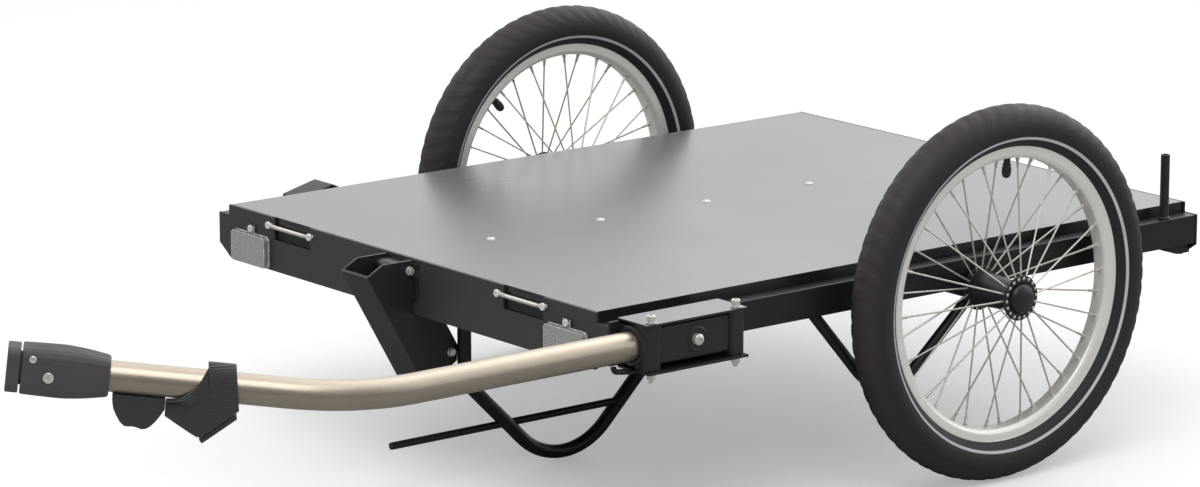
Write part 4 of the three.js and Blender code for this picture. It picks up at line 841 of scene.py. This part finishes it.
def roundedBlock(low, high, width, segments=3, test=everyEdge):
    # a block between two corners, with the edges that pass the test rounded
    deselectAll()
    low, high = Vector(low), Vector(high)
    bpy.ops.mesh.primitive_cube_add(size=1, location=(low + high) / 2)
    obj = bpy.context.object
    obj.scale = high - low
    obj = newest()
    openMesh(obj, "EDGE")
    pick(obj, "EDGE", test)
    bpy.ops.mesh.bevel(offset=width, offset_type="OFFSET", segments=segments, affect="EDGES", clamp_overlap=True)
    closeMesh()
    return obj


def boreOut(obj, start, way, radius, depth):
    # a round hole cut from a start point along a direction
    tool = roundBar(radius * mm, start, way, 64)
    openMesh(tool)
    selectAll()
    extrude(way * depth * mm)
    closeMesh()
    cleanUp(tool)
    makeActive(obj)
    cutter = obj.modifiers.new("bore", "BOOLEAN")
    cutter.operation, cutter.object, cutter.solver, cutter.use_self = "DIFFERENCE", tool, "EXACT", True
    bpy.ops.object.modifier_apply(modifier=cutter.name)
    bpy.data.objects.remove(tool)


def makeReceiver():
    d = {"inner": 339.0, "outer": 383.0, "front": -487.0, "rear": -358.0, "low": 193.3, "high": 238.5, "base": 3.0,
         "baseFront": -499.6, "barrel": 19.6, "postFront": 22.0, "postRear": 19.0, "postDepth": 17.4,
         "collar": 20.6, "bore": 16.4, "boss": 13.4, "lockAt": -418.3}
    x, z = drawbar["x"], drawbar["z"]
    parts = [
        roundedBlock(at(d["inner"] + d["base"] - 1, d["front"] + 1, z - d["barrel"]),
                     at(x + d["barrel"] - 1.5, d["rear"] - 0.5, z + d["barrel"]), 3.0 * mm, 3),
        roundedBlock(at(d["inner"], d["baseFront"], d["low"]), at(d["inner"] + d["base"], d["rear"], d["high"]),
                     0.8 * mm, 2),
        roundedBlock(at(x + 2, d["front"] + 0.2, d["low"]), at(d["outer"], d["front"] + d["postFront"], d["high"]),
                     5.0 * mm, 4, upright),
        roundedBlock(at(d["outer"] - d["postDepth"], d["rear"] - d["postRear"], d["low"]),
                     at(d["outer"], d["rear"], d["high"]), 5.0 * mm, 4, upright),
        spinProfile([(-2.4, d["bore"]), (-2.4, d["bore"] + 2.6), (-1.6, d["collar"] - 0.4), (1.5, d["collar"]),
                     (3.0, d["collar"]), (3.0, d["bore"])],
                    at(x, d["front"], z), (0, 1, 0), (0, 0, 1), 64, True),
        spinProfile([(0, 7.0), (0, d["boss"]), (0.8, d["boss"] - 0.3), (1.5, d["boss"] - 1.4), (1.5, d["boss"] - 2.4),
                     (0.9, d["boss"] - 3.0), (0.9, 7.0)],
                    at(x + d["barrel"] - 1.9, d["lockAt"], z), (1, 0, 0), (0, 0, 1), 64, True),
    ]
    # ribs between the tube's collar and the base plate
    for height in (-1, 1):
        parts.append(roundedBlock(at(d["inner"] + 2, d["front"] + 0.3, z + height * 17.5 - 1.4),
                                  at(x, d["front"] + 14, z + height * 17.5 + 1.4), 0.7 * mm, 2))
    obj = joinAll(parts)
    # the drawbar goes in from the front, and the lock button from the side
    boreOut(obj, at(x, d["front"] - 6, z), Vector((0, 1, 0)), 15.6, 150)
    boreOut(obj, at(x + 5, d["lockAt"], z), Vector((1, 0, 0)), 6.5, 40)
    finishPiece(obj, "receiver_body", "moulded", blackPlastic)
    plate = softCopy("receiver_bottom_plate", "receiver_bottom_edged", 0.6 * mm, 2, 35)
    finishPiece(plate, "receiver_bottom_plate", "edged", powderCoat, 40)


def makeLockButton():
    d = {"radius": 6.1, "dome": 2.2, "length": 22.0, "dimple": 2.0}
    low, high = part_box("lock_button")
    spot = Vector((high.x, (low.y + high.y) / 2, (low.z + high.z) / 2))
    r = d["radius"]
    profile = [(-d["length"], 0), (-d["length"], r), (-d["dome"], r), (-d["dome"] * 0.6, r * 0.94),
               (-d["dome"] * 0.25, r * 0.74), (0, r * 0.44), (0, r * 0.36), (-d["dimple"], r * 0.26),
               (-d["dimple"], 0)]
    obj = spinProfile(profile, spot, (1, 0, 0), (0, 0, 1), 48)
    finishPiece(obj, "lock_button", "domed", brightZinc, 50, "lock_button")


makeReceiver()
makeLockButton()
print("receiver made")


# Hitch, pad, strap and buckle, in a frame along the drawbar's end

hitchTurn = math.atan2(hitchWay.y, hitchWay.x)
hitchPlace = Matrix.Translation(hitchTip) @ Matrix.Rotation(hitchTurn, 4, "Z") @ Matrix.Rotation(-rise, 4, "Y")


def placed(obj):
    # from the hitch's own frame, +X out of its mouth, to its place
    obj.data.transform(hitchPlace)
    return obj


def squareBlend(obj, width, height, power, fromRadius):
    # rounds a spun skin towards a square section, vertex by vertex
    openMesh(obj, "VERT")
    mesh = bmesh.from_edit_mesh(obj.data)
    for vert in mesh.verts:
        radius = math.hypot(vert.co.y, vert.co.z)
        if radius <= fromRadius:
            continue
        c, s = abs(vert.co.y) / radius, abs(vert.co.z) / radius
        grow = 1 / (c ** power + s ** power) ** (1 / power)
        share = min(1.0, (radius - fromRadius) / (2 * mm))
        vert.co.y *= 1 + share * (grow * width - 1)
        vert.co.z *= 1 + share * (grow * height - 1)
    bmesh.update_edit_mesh(obj.data)
    closeMesh()


def makeHitch():
    d = {"length": 83.0, "ring": 12.4, "gap": 1.6, "half": 23.4, "flat": 21.5 / 23.4, "power": 5.0, "socket": 12.5,
         "neck": 16.0, "neckReach": 6.0, "tube": 15.3, "grip": 46.0, "ringHalf": 22.0,
         "columns": 96, "grooveEvery": 3, "grooveFrom": 16, "grooveAbove": 9, "grooveOut": 17, "grooveShare": 0.972,
         "blendFrom": 16.6,
         "shares": [(0, 0.97), (0.2, 0.987), (0.42, 1), (0.52, 0.992), (0.6, 0.97), (0.7, 0.935), (0.77, 0.905),
                    (0.88, 0.845), (0.97, 0.795)]}
    front, back, half = -d["ring"] - d["gap"], -d["ring"] - d["gap"] - d["length"], d["half"]
    skin = [(front - share * d["length"], wide * half) for share, wide in d["shares"]]
    skin = [(front, half * 0.97 - 1.2), (front - 0.5, half * 0.97 - 0.4), (front - 1.4, half * 0.97)] + skin[1:]
    skin += [(back + 0.4, half * 0.775), (back, half * 0.75)]
    inside = [(back, d["tube"]), (back + d["grip"], d["tube"]), (back + d["grip"], d["socket"]),
              (front + d["gap"] + d["neckReach"], d["socket"]), (front + d["gap"] + d["neckReach"], d["neck"]),
              (front, d["neck"])]
    obj = spinProfile(list(reversed(skin)) + list(reversed(inside)), (0, 0, 0), (1, 0, 0), (0, 0, 1),
                      d["columns"], True)
    squareBlend(obj, d["flat"], 1.0, d["power"], d["blendFrom"] * mm)
    cleanUp(obj)
    # shallow grooves run back along the upper half
    for vert in obj.data.vertices:
        column = round(math.atan2(vert.co.y, vert.co.z) / math.tau * d["columns"])
        behind = vert.co.x < (front - d["grooveFrom"]) * mm and vert.co.z > d["grooveAbove"] * mm
        outside = math.hypot(vert.co.y, vert.co.z) > d["grooveOut"] * mm
        if behind and outside and column % d["grooveEvery"] == 0:
            vert.co.y, vert.co.z = vert.co.y * d["grooveShare"], vert.co.z * d["grooveShare"]
    for spot, radius, depth in hitchHoles:
        boreOut(obj, Vector(spot) * mm, Vector((0, 1, 0)), radius, depth)
    placed(obj)
    finishPiece(obj, "hitch_body", "moulded", hitchRubber, 40)
    r = d["ringHalf"]
    ring = [(-d["ring"], 16.4), (-d["ring"], r - 0.9), (-d["ring"] + 0.4, r - 0.2), (-d["ring"] + 1.0, r), (-1.2, r),
            (-0.4, r - 0.3), (0, r - 1.1), (0, 13.6), (-0.8, 12.6), (-6.1, 12.5), (-6.1, 16.4)]
    obj = spinProfile(ring, (0, 0, 0), (1, 0, 0), (0, 0, 1), d["columns"], True)
    squareBlend(obj, d["flat"], 1.0, d["power"], d["blendFrom"] * mm)
    placed(obj)
    cleanUp(obj)
    finishPiece(obj, "hitch_ring", "moulded", hitchRubber, 40, "hitch_ring")


pins = {"flat": 21.5, "lockBack": 39.8, "lockDrop": 2.5, "lockRadius": 5.4, "lockProud": 1.4, "lockLength": 9.0,
        "screwBack": 24.0, "screwRise": 13.6, "screwRadius": 3.8, "screwProud": 0.6, "screwLength": 6.0, "rim": 0.7}
hitchHoles = [((-pins["lockBack"], pins["flat"] - pins["lockLength"] - 3.4, -pins["lockDrop"]),
               pins["lockRadius"] + pins["rim"], 30),
              ((-pins["screwBack"], pins["flat"] - pins["screwLength"], pins["screwRise"]),
               pins["screwRadius"] + pins["rim"], 30)]


def makeHitchPins():
    d = pins
    top = d["flat"] + d["lockProud"]
    r = d["lockRadius"]
    pin = spinProfile([(top - d["lockLength"], 0), (top - d["lockLength"], r), (top - 0.9, r), (top - 0.3, r - 0.35),
                       (top, r - 1.1), (top, 1.9), (top - 1.2, 1.6), (top - 1.2, 0)],
                      Vector((-d["lockBack"], 0, -d["lockDrop"])) * mm, (0, 1, 0), (0, 0, 1), 48)
    finishPiece(placed(pin), "hitch_lock_pin", "turned", brightZinc, 45, "hitch_lock_pin")
    top = d["flat"] + d["screwProud"]
    screw = panHead(Vector((-d["screwBack"], top - 1.2, d["screwRise"])) * mm, (0, 1, 0), d["screwRadius"], 1.2,
                    d["screwRadius"] - 0.6, d["screwLength"] - 1.2, 2.0)
    finishPiece(placed(screw), "hitch_screw", "socket", brightZinc)


def outlinePlate(points, thickness):
    # a flat outline in the hitch's own frame, given thickness across it
    obj = tracePath([Vector((x, 0, z)) * mm for x, z in points])
    bpy.ops.mesh.edge_face_add()
    selectAll()
    bpy.ops.transform.translate(value=(0, -thickness / 2 * mm, 0))
    extrude((0, thickness * mm, 0))
    closeMesh()
    cleanUp(obj)
    return obj


def strip(points, way, steps):
    # a thin band drawn along an open path and widened in steps along one direction
    obj = tracePath(points)
    for _ in range(steps):
        extrude(way / steps)
    closeMesh()
    cleanUp(obj, 0.000001)
    return obj


def thicken(obj, thickness):
    # both ways from the band's middle
    makeActive(obj)
    solid = obj.modifiers.new("thick", "SOLIDIFY")
    solid.thickness, solid.offset = thickness, 0
    bpy.ops.object.modifier_apply(modifier=solid.name)
    return obj


def makePadAndStrap():
    d = {"back": -97.0, "under": -15.3, "padStart": 4.0, "padLength": 50.4, "padDepth": 32.2, "padThickness": 14.0,
         "pad": [(0, 0), (0.01, 0.22), (0.04, 0.44), (0.11, 0.65), (0.19, 0.84), (0.28, 0.95), (0.36, 0.955),
                 (0.42, 0.94), (0.5, 0.955), (0.61, 1), (0.69, 0.975), (0.76, 0.9), (0.84, 0.76), (0.92, 0.57),
                 (0.98, 0.4), (1, 0.34), (1, 0)],
         "bandFront": -187.8, "bandWidth": 26.5, "band": 2.4, "half": 16.5, "loose": 5.2, "lean": 0.16,
         "buckle": [(-185.8, -49.0), (-216.0, -22.7)], "cutRise": 0.8, "floorRise": 1.6, "fanBand": 3.0,
         "fanTop": (-151.6, -15.6), "fanReach": (-36.9, 35.1), "fanCurve": 2.2, "fanCorner": 0.75,
         "fanLow": [(-152.4, -33.0), (-184.0, -47.6), (-197.5, -39.5)], "tubeClear": 17.3, "leanFrom": 22.0}
    pad = outlinePlate([(d["back"] - d["padStart"] - b * d["padLength"], d["under"] - h * d["padDepth"])
                        for b, h in d["pad"]], d["padThickness"])
    bevelEdges(pad, 1.8 * mm, 3, 40)
    finishPiece(placed(pad), "drawbar_pad", "moulded", greyPlastic, 40)
    (x0, z0), (x1, z1) = d["buckle"]
    slope = (z1 - z0) / (x1 - x0)
    # the loop hangs from the tube's top, leans back as it goes down, and ends along the buckle
    half, front = d["half"], d["bandFront"]
    sides = [(half, -50.0), (half + 0.5, -40.0), (half - 0.2, -28.0), (half + 0.3, -14.0), (half, -2.0)]
    arch = [(half * math.cos(math.pi * i / 12), d["loose"] + half * math.sin(math.pi * i / 12)) for i in range(13)]
    path = sides + arch + [(-y, z) for y, z in reversed(sides)]
    loop = strip([Vector((front, y, z)) * mm for y, z in path], Vector((-d["bandWidth"], 0, 0)) * mm, 8)
    for vert in loop.data.vertices:
        vert.co.x -= d["lean"] * max(0, d["leanFrom"] * mm - vert.co.z)
    openMesh(loop)
    selectAll()
    bpy.ops.mesh.bisect(plane_co=Vector((x0, 0, z0 + d["cutRise"])) * mm,
                        plane_no=Vector((-slope, 0, 1)).normalized(), clear_inner=True)
    closeMesh()
    thicken(loop, d["band"] * mm)
    along = Vector((x1 - x0, 0, z1 - z0)) * mm
    floor = strip([Vector((x0, y, z0 + d["floorRise"])) * mm for y in (-half, -half / 3, half / 3, half)], along, 6)
    thicken(floor, d["band"] * mm)
    # the web leaves the pad narrow, climbs over the tube's near side and turns into the loop's front edge
    fan = strip([Vector((0, 0, -i / 6)) * mm for i in range(7)], Vector((1, 0, 0)) * mm, 12)
    (topX, topZ), (reachX, reachZ), corner = d["fanTop"], d["fanReach"], d["fanCorner"]
    lows = [Vector(p) for p in d["fanLow"]]
    for vert in fan.data.vertices:
        share, down = vert.co.x / mm, -vert.co.z / mm
        top = Vector((topX + reachX * share, topZ + reachZ * share ** d["fanCurve"]))
        if share < corner:
            low = lows[0].lerp(lows[1], share / corner)
        else:
            low = lows[1].lerp(lows[2], (share - corner) / (1 - corner))
        place = top.lerp(low, down)
        reach = 8 + (half - 8) * min(1, down * 2.5)
        out = 2 + share * (reach - 2) + 3 * math.sin(math.pi * share) * (2 * down - 1)
        if place.y > -17.2 and share < 0.97:
            out = max(out, math.sqrt(max(0, d["tubeClear"] ** 2 - place.y ** 2)))
        vert.co = Vector((place.x, out, place.y)) * mm
    thicken(fan, d["fanBand"] * mm)
    obj = joinAll([loop, floor, fan])
    bevelEdges(obj, 0.5 * mm, 2, 50)
    finishPiece(placed(obj), "safety_strap", "looped", blackWebbing, 50)
    buckle = softCopy("strap_buckle", "strap_buckle_soft", 0.8 * mm, 3, 30)
    finishPiece(buckle, "strap_buckle", "edged", greyPlastic, 40)


makeHitch()
makeHitchPins()
makePadAndStrap()
print("hitch made")


# Reflectors, pocket tongue and flag tube

def makeReflectors():
    d = {"edge": 0.5 * mm, "tab": 8.7 * mm}
    for side in ("left", "right"):
        name = f"reflector_{side}"
        obj = softCopy(name, name + "_soft", d["edge"], 3, 30)
        finishPiece(obj, name, "lens", clearLens, 30)
        # the reflector's tab takes the front plate's lit copy of the coat, which is painted light
        obj.data.materials.append(frontCoatPaintedLight)
        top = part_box(name)[1].z - d["tab"]
        for face in obj.data.polygons:
            if face.center.z > top:
                face.material_index = 1


def makeTongue():
    obj = softCopy("pocket_tongue", "pocket_tongue_soft", 0.5 * mm, 2, 60)
    finishPiece(obj, "pocket_tongue", "curled", blackPlastic, 60)


def makeFlagTube():
    d = {"bore": 3.5, "radius": 5.0, "foot": 6.6, "footHeight": 2.0}
    low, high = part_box("flag_tube")
    spot = Vector(((low.x + high.x) / 2, (low.y + high.y) / 2, low.z))
    tall = (high.z - low.z) / mm
    r = d["radius"]
    profile = [(0, d["bore"]), (0, d["foot"]), (d["footHeight"] - 0.4, d["foot"]), (d["footHeight"], d["foot"] - 0.4),
               (d["footHeight"], r + 0.6), (d["footHeight"] + 0.6, r), (tall - 6, r), (tall - 5.6, r - 0.25),
               (tall - 5.2, r), (tall - 0.6, r), (tall, r - 0.6), (tall, d["bore"])]
    obj = spinProfile(profile, spot, (0, 0, 1), (1, 0, 0), 48, True)
    finishPiece(obj, "flag_tube", "moulded", blackPlastic, 40)


makeReflectors()
makeTongue()
makeFlagTube()
print("small parts made")


# Wheels: modelled once on the left, then copied to the right with its own valve place

wheel = {"centre": at(371.75, 0, 200), "right": at(-371.75, 0, 200), "valveLeft": 2.8, "valveRight": 43.0}
outward = Vector((1, 0, 0))


def spinWheel(profile, steps, closed=False):
    # a profile measured from the wheel's centre, spun about its axle
    return spinProfile(profile, wheel["centre"], outward, (0, 0, 1), steps, closed)


def makeTyre():
    d = {"centre": 177.0, "section": 23.0, "blocks": 64, "perBlock": 6, "grooveHalf": 0.8, "grooveDepth": 0.8,
         "grooveTo": 64.0, "sweep": 0.05, "endAngle": 148.0, "rows": 38, "inner": 19.6}
    outer = []
    for i in range(d["rows"] + 1):
        a = math.radians(-d["endAngle"] + 2 * d["endAngle"] * i / d["rows"])
        outer.append((d["section"] * math.sin(a), d["centre"] + d["section"] * math.cos(a)))
    inner = []
    for i in range(11):
        a = math.radians(140 - 280 * i / 10)
        inner.append((d["inner"] * math.sin(a) * 0.98, d["centre"] + d["inner"] * math.cos(a)))
    profile = [(-9.3, 152.0)] + outer + [(9.3, 152.0), (6.6, 152.0)] + inner[1:-1] + [(-6.6, 152.0)]
    steps = d["blocks"] * d["perBlock"]
    obj = spinWheel(profile, steps, True)
    step = math.tau / steps
    centre = wheel["centre"]

    def column(co):
        return round(math.atan2(co.y - centre.y, co.z - centre.z) / step) % d["perBlock"]

    def crown(co):
        # degrees from the top of the tread, over the outside of the section
        radius = math.hypot(co.y - centre.y, co.z - centre.z) - d["centre"] * mm
        if math.hypot(co.x - centre.x, radius) < (d["section"] - 1) * mm:
            return 999
        return math.degrees(math.atan2(co.x - centre.x, radius))

    openMesh(obj, "VERT")
    shift = step - d["grooveHalf"] / (d["centre"] + d["section"])
    for beside, sign in ((1, -1), (d["perBlock"] - 1, 1)):
        pick(obj, "VERT", lambda vert: column(vert.co) == beside and abs(crown(vert.co)) < d["grooveTo"] + 4)
        bpy.ops.transform.rotate(value=-sign * shift, orient_axis="X", orient_type="GLOBAL", center_override=centre)
    pick(obj, "VERT", lambda vert: column(vert.co) == 0 and abs(crown(vert.co)) < d["grooveTo"])
    bpy.ops.transform.shrink_fatten(value=-d["grooveDepth"] * mm)
    closeMesh()
    # the grooves sweep back towards the sidewalls
    for vert in obj.data.vertices:
        lean = min(abs(crown(vert.co)), 120) if abs(crown(vert.co)) < 200 else 0
        turn = turnAbout(centre, d["sweep"] * (lean / 60) ** 2, outward)
        vert.co = turn @ vert.co
    return obj


def makeRim():
    half = [(10.2, 157.35), (10.6, 157.6), (11.7, 157.6), (12.0, 157.2), (12.0, 156.4), (11.6, 156.0), (11.9, 155.6),
            (11.35, 149.4), (11.1, 148.6), (10.4, 147.2), (9.2, 145.8), (7.9, 144.5), (6.9, 144.1), (3.0, 144.0)]
    other = [(-x, r) for x, r in reversed(half)]
    profile = half + other + [(-9.9, 151.4), (9.9, 151.4)]
    return spinWheel(profile, 144, True)


def makeInnerTube():
    # the tube inside the tyre, with the valve and its cap through the rim
    d = {"cap": 4.6, "ribs": 16}
    centre = wheel["centre"]
    half = [(11.5, 191.1), (16.4, 175.9), (9.2, 165.0), (5.6, 157.7), (5.6, 152.9)]
    ring = spinWheel(half + [(-x, r) for x, r in reversed(half)], 72, True)
    r = d["cap"]
    valve = [(121.9, 0), (122.0, 1.4), (122.7, 3.0), (124.2, 4.2), (126.0, r), (133.6, r), (134.2, 4.2), (135.6, 4.1),
             (136.0, r + 0.1), (136.9, r + 0.1), (137.2, 3.6), (143.6, 3.6), (153.0, 3.6), (153.0, 0)]
    stem = spinProfile(valve, centre, (0, 0, 1), (1, 0, 0), 32)
    rib = roundedBlock(Vector((centre.x + 4.45 * mm, centre.y - 0.35 * mm, centre.z + 126.6 * mm)),
                       Vector((centre.x + 4.9 * mm, centre.y + 0.35 * mm, centre.z + 133.2 * mm)), 0.15 * mm, 1)
    stem = joinAll([stem, around(rib, d["ribs"], centre, (0, 0, 1))])
    stem.data.transform(turnAbout(centre, -math.radians(wheel["valveLeft"]), outward))
    return joinAll([ring, stem])


def makeSpokes(end):
    # one straight spoke with its bent head and nipple, copied round the flange
    d = {"hubCircle": 20.8, "flange": 29.5 if end < 0 else 31.2, "flangeThickness": 2.6, "radius": 0.95,
         "rimAlong": 2.5, "rimRadius": 142.8, "count": 18, "nipple": 9.0}
    centre = wheel["centre"]
    angle = math.tau / d["count"] * (3 if end < 0 else 1) / 4
    along = end * d["flange"] - end * (d["flangeThickness"] / 2 + d["radius"] + 0.3)

    def spot(x, radius):
        return centre + Vector((x, radius * math.sin(angle), radius * math.cos(angle))) * mm

    foot, tip = spot(along, d["hubCircle"]), spot(end * d["rimAlong"], d["rimRadius"])
    way = (tip - foot).normalized()
    face = spot(end * (d["flange"] + d["flangeThickness"] / 2 + 0.6), d["hubCircle"])
    wire = drawOut([face, foot + Vector((end * 0.4, 0, 0)) * mm, foot + way * 3 * mm, tip - way * 6 * mm],
                   [0.9 * mm, 0.9 * mm], d["radius"] * mm, 10, 45)
    head = spinProfile([(-0.5, 0), (-0.5, 1.6), (0.1, 1.75), (0.6, 1.3), (0.85, 0)], face, Vector((end, 0, 0)),
                       (0, 0, 1), 12)
    n = -d["nipple"]
    nip = spinProfile([(n, 0), (n, 1.3), (n + 0.6, 1.5), (-2.8, 1.5), (-2.2, 2.1), (0.6, 2.1), (1.2, 1.8), (1.2, 0)],
                      tip, way, way.orthogonal().normalized(), 12)
    obj = around(joinAll([wire, head, nip]), d["count"], centre, outward)
    obj.data.transform(turnAbout(centre, -math.radians(wheel["valveLeft"]), outward))
    return obj


def makeHub():
    profile = [(-30.8, 12.3), (-30.8, 22.6), (-30.2, 23.6), (-29.5, 24.0), (-28.9, 23.8), (-28.2, 22.8),
               (-28.2, 19.6),
               (-27.4, 18.7), (-20, 18.2), (12, 16.4), (24.0, 15.4), (28.6, 18.2), (29.9, 19.0), (29.9, 22.8),
               (30.5, 23.8), (31.2, 24.0), (32.0, 23.6), (32.5, 22.6), (32.5, 17.2), (32.1, 16.3), (27.2, 16.1),
               (27.2, 12.3)]
    return spinWheel(profile + [(21.3, 12.3), (21.3, 9), (-24.8, 9), (-24.8, 12.3)], 96, True)


def makeAxleButton():
    d = {"radius": 15.6}
    r = d["radius"]
    profile = [(13.3, 0), (13.3, 2.6), (31.6, 2.6), (31.6, r - 0.8), (32.2, r), (33.6, r), (34.4, r - 0.5),
               (36.4, r * 0.93), (38.2, r * 0.78), (39.4, r * 0.56), (40.0, r * 0.3), (40.2, 0)]
    return spinWheel(profile, 72)


def makeWheels():
    mirror = Matrix.Translation(wheel["right"]) @ Matrix.Rotation(math.pi, 4, "Z") \
        @ Matrix.Translation(-wheel["centre"])
    turned = mirror @ turnAbout(wheel["centre"], -math.radians(wheel["valveRight"] - wheel["valveLeft"]), outward)
    for name, obj, material, slotName, moved, angle in (
            ("tyre", makeTyre(), tyreRubber, "tyre", mirror, 30),
            ("rim", makeRim(), machinedRim, "rim_aluminium", turned, 30),
            ("inner_tube", makeInnerTube(), tubeRubber, "tube_rubber", turned, 35),
            ("spokes_inner", makeSpokes(-1), drawnSteel, "stainless", turned, 50),
            ("spokes_outer", makeSpokes(1), drawnSteel, "stainless", turned, 50),
            ("hub", makeHub(), blackPlastic, "moulded_black", turned, 35),
            ("axle_button", makeAxleButton(), blackPlastic, "moulded_black", mirror, 50)):
        other = twin(obj, name + "_right_made", moved)
        for side, piece in (("left", obj), ("right", other)):
            body = f"axle_button_{side}" if name == "axle_button" else f"wheel_{side}"
            finishPiece(piece, f"{name}_{side}", "made", material, angle, body)


makeWheels()
print("wheels made")

# CAD nodes that stay: axles and bearings, mostly inside the hubs
for side in ("left", "right"):
    for name in ("axle", "bearings"):
        kept = nodes[f"{name}_{side}"]
        kept.data.materials.clear()
        kept.data.materials.append(drawnSteel)


# Floor, light and camera

def makeFloor():
    d = {"size": 14.0, "colour": (0.74, 0.735, 0.73), "glow": 0.32}
    deselectAll()
    bpy.ops.mesh.primitive_plane_add(size=d["size"], location=(0, 0, -0.0002))
    floor = newest()
    floor.name = "studio_floor"
    material = bpy.data.materials.new("paleFloor")
    material.use_nodes = True
    tree = material.node_tree
    shader = tree.nodes["Principled BSDF"]
    noise = noiseNode(tree, objectPlace(tree), Scale=3.0, Detail=5.0)
    shade = mixColours(tree, rangeMap(tree, noise.outputs["Fac"], 0.3, 0.7, 0.0, 1.0), d["colour"],
                       tuple(c * 0.985 for c in d["colour"]))
    rays = node(tree, "LightPath")
    glossy = mathNode(tree, "MULTIPLY", rays.outputs["Is Glossy Ray"], 0.62)
    shade = mixColours(tree, glossy, shade, (0.02, 0.02, 0.02))
    link(tree, shade, shader.inputs["Base Color"])
    shader.inputs["Roughness"].default_value = 0.55
    shader.inputs["Specular IOR Level"].default_value = 0.2
    seen = mathNode(tree, "MAXIMUM", rays.outputs["Is Camera Ray"], rays.outputs["Is Transmission Ray"])
    glow = node(tree, "Emission")
    link(tree, mathNode(tree, "MULTIPLY", seen, d["glow"]), glow.inputs["Strength"])
    both = node(tree, "AddShader")
    link(tree, shader.outputs["BSDF"], both.inputs[0])
    link(tree, glow.outputs["Emission"], both.inputs[1])
    link(tree, both.outputs["Shader"], tree.nodes["Material Output"].inputs["Surface"])
    floor.data.materials.append(material)


def makeLights():
    world = bpy.data.worlds.new("studioWorld")
    bpy.context.scene.world = world
    world.use_nodes = True
    tree = world.node_tree
    back = tree.nodes["Background"]
    back.inputs["Color"].default_value = (1, 1, 1, 1)
    rays = node(tree, "LightPath")
    seen = mathNode(tree, "MAXIMUM", rays.outputs["Is Camera Ray"], rays.outputs["Is Glossy Ray"])
    seen = mathNode(tree, "MAXIMUM", seen, rays.outputs["Is Transmission Ray"])
    # where a reflection looks: dark near the camera and low down, brightest to the back right
    way = node(tree, "TexCoord").outputs["Object"]
    shares = []
    for side, low, high, toLow, toHigh in (((-0.78, 0.62, 0.0), -0.5, 0.35, 0.16, 1.0),
                                           ((0.0, 0.0, 1.0), 0.0, 0.2, 0.3, 1.0),
                                           ((0.6252, 0.7805, 0.0), -0.3, 0.3, 0.9, 2.1)):
        dot = node(tree, "VectorMath", operation="DOT_PRODUCT")
        link(tree, way, dot.inputs[0])
        dot.inputs[1].default_value = side
        shares.append(rangeMap(tree, dot.outputs["Value"], low, high, toLow, toHigh))
    mirrored = mathNode(tree, "MULTIPLY", mathNode(tree, "MULTIPLY", shares[0], shares[1]), shares[2])
    # straight to the camera the backdrop stays white, and matt light stays even
    glossy = rays.outputs["Is Glossy Ray"]
    plain = rangeMap(tree, seen, 0.0, 1.0, 0.62, 1.0)
    strength = node(tree, "Mix")
    link(tree, glossy, strength.inputs["Factor"])
    link(tree, plain, strength.inputs[2])
    link(tree, mirrored, strength.inputs[3])
    link(tree, strength.outputs[0], back.inputs["Strength"])
    for name, spot, size, power in (("keyLight", (1.6, -1.4, 3.2), 2.6, 55),
                                    ("fillLight", (-2.8, -1.2, 2.4), 2.4, 16),
                                    ("backLight", (-0.6, 3.2, 2.8), 2.4, 22)):
        deselectAll()
        bpy.ops.object.light_add(type="AREA", location=spot)
        light = bpy.context.object
        light.name = name
        light.data.size = size
        light.data.energy = power
        light.rotation_euler = (Vector((0, 0.1, 0.15)) - Vector(spot)).to_track_quat("-Z", "Y").to_euler()


def makeCamera():
    d = {"spot": at(4079.8, -3505.7, 1411.6), "lens": 150.04,
         "right": (0.6252, 0.7805, 0.0), "up": (-0.1734, 0.1389, 0.9751), "back": (0.7610, -0.6096, 0.2222)}
    deselectAll()
    bpy.ops.object.camera_add(location=d["spot"])
    camera = bpy.context.object
    camera.name = "photoCamera"
    axes = Matrix((d["right"], d["up"], d["back"])).transposed()
    camera.rotation_euler = axes.to_euler()
    camera.data.lens = d["lens"]
    camera.data.sensor_width = 36
    camera.data.clip_start, camera.data.clip_end = 0.1, 60
    bpy.context.scene.camera = camera


makeFloor()
makeLights()
makeCamera()
bpy.context.scene.view_settings.view_transform = "Standard"
print("stage made")

deselectAll()
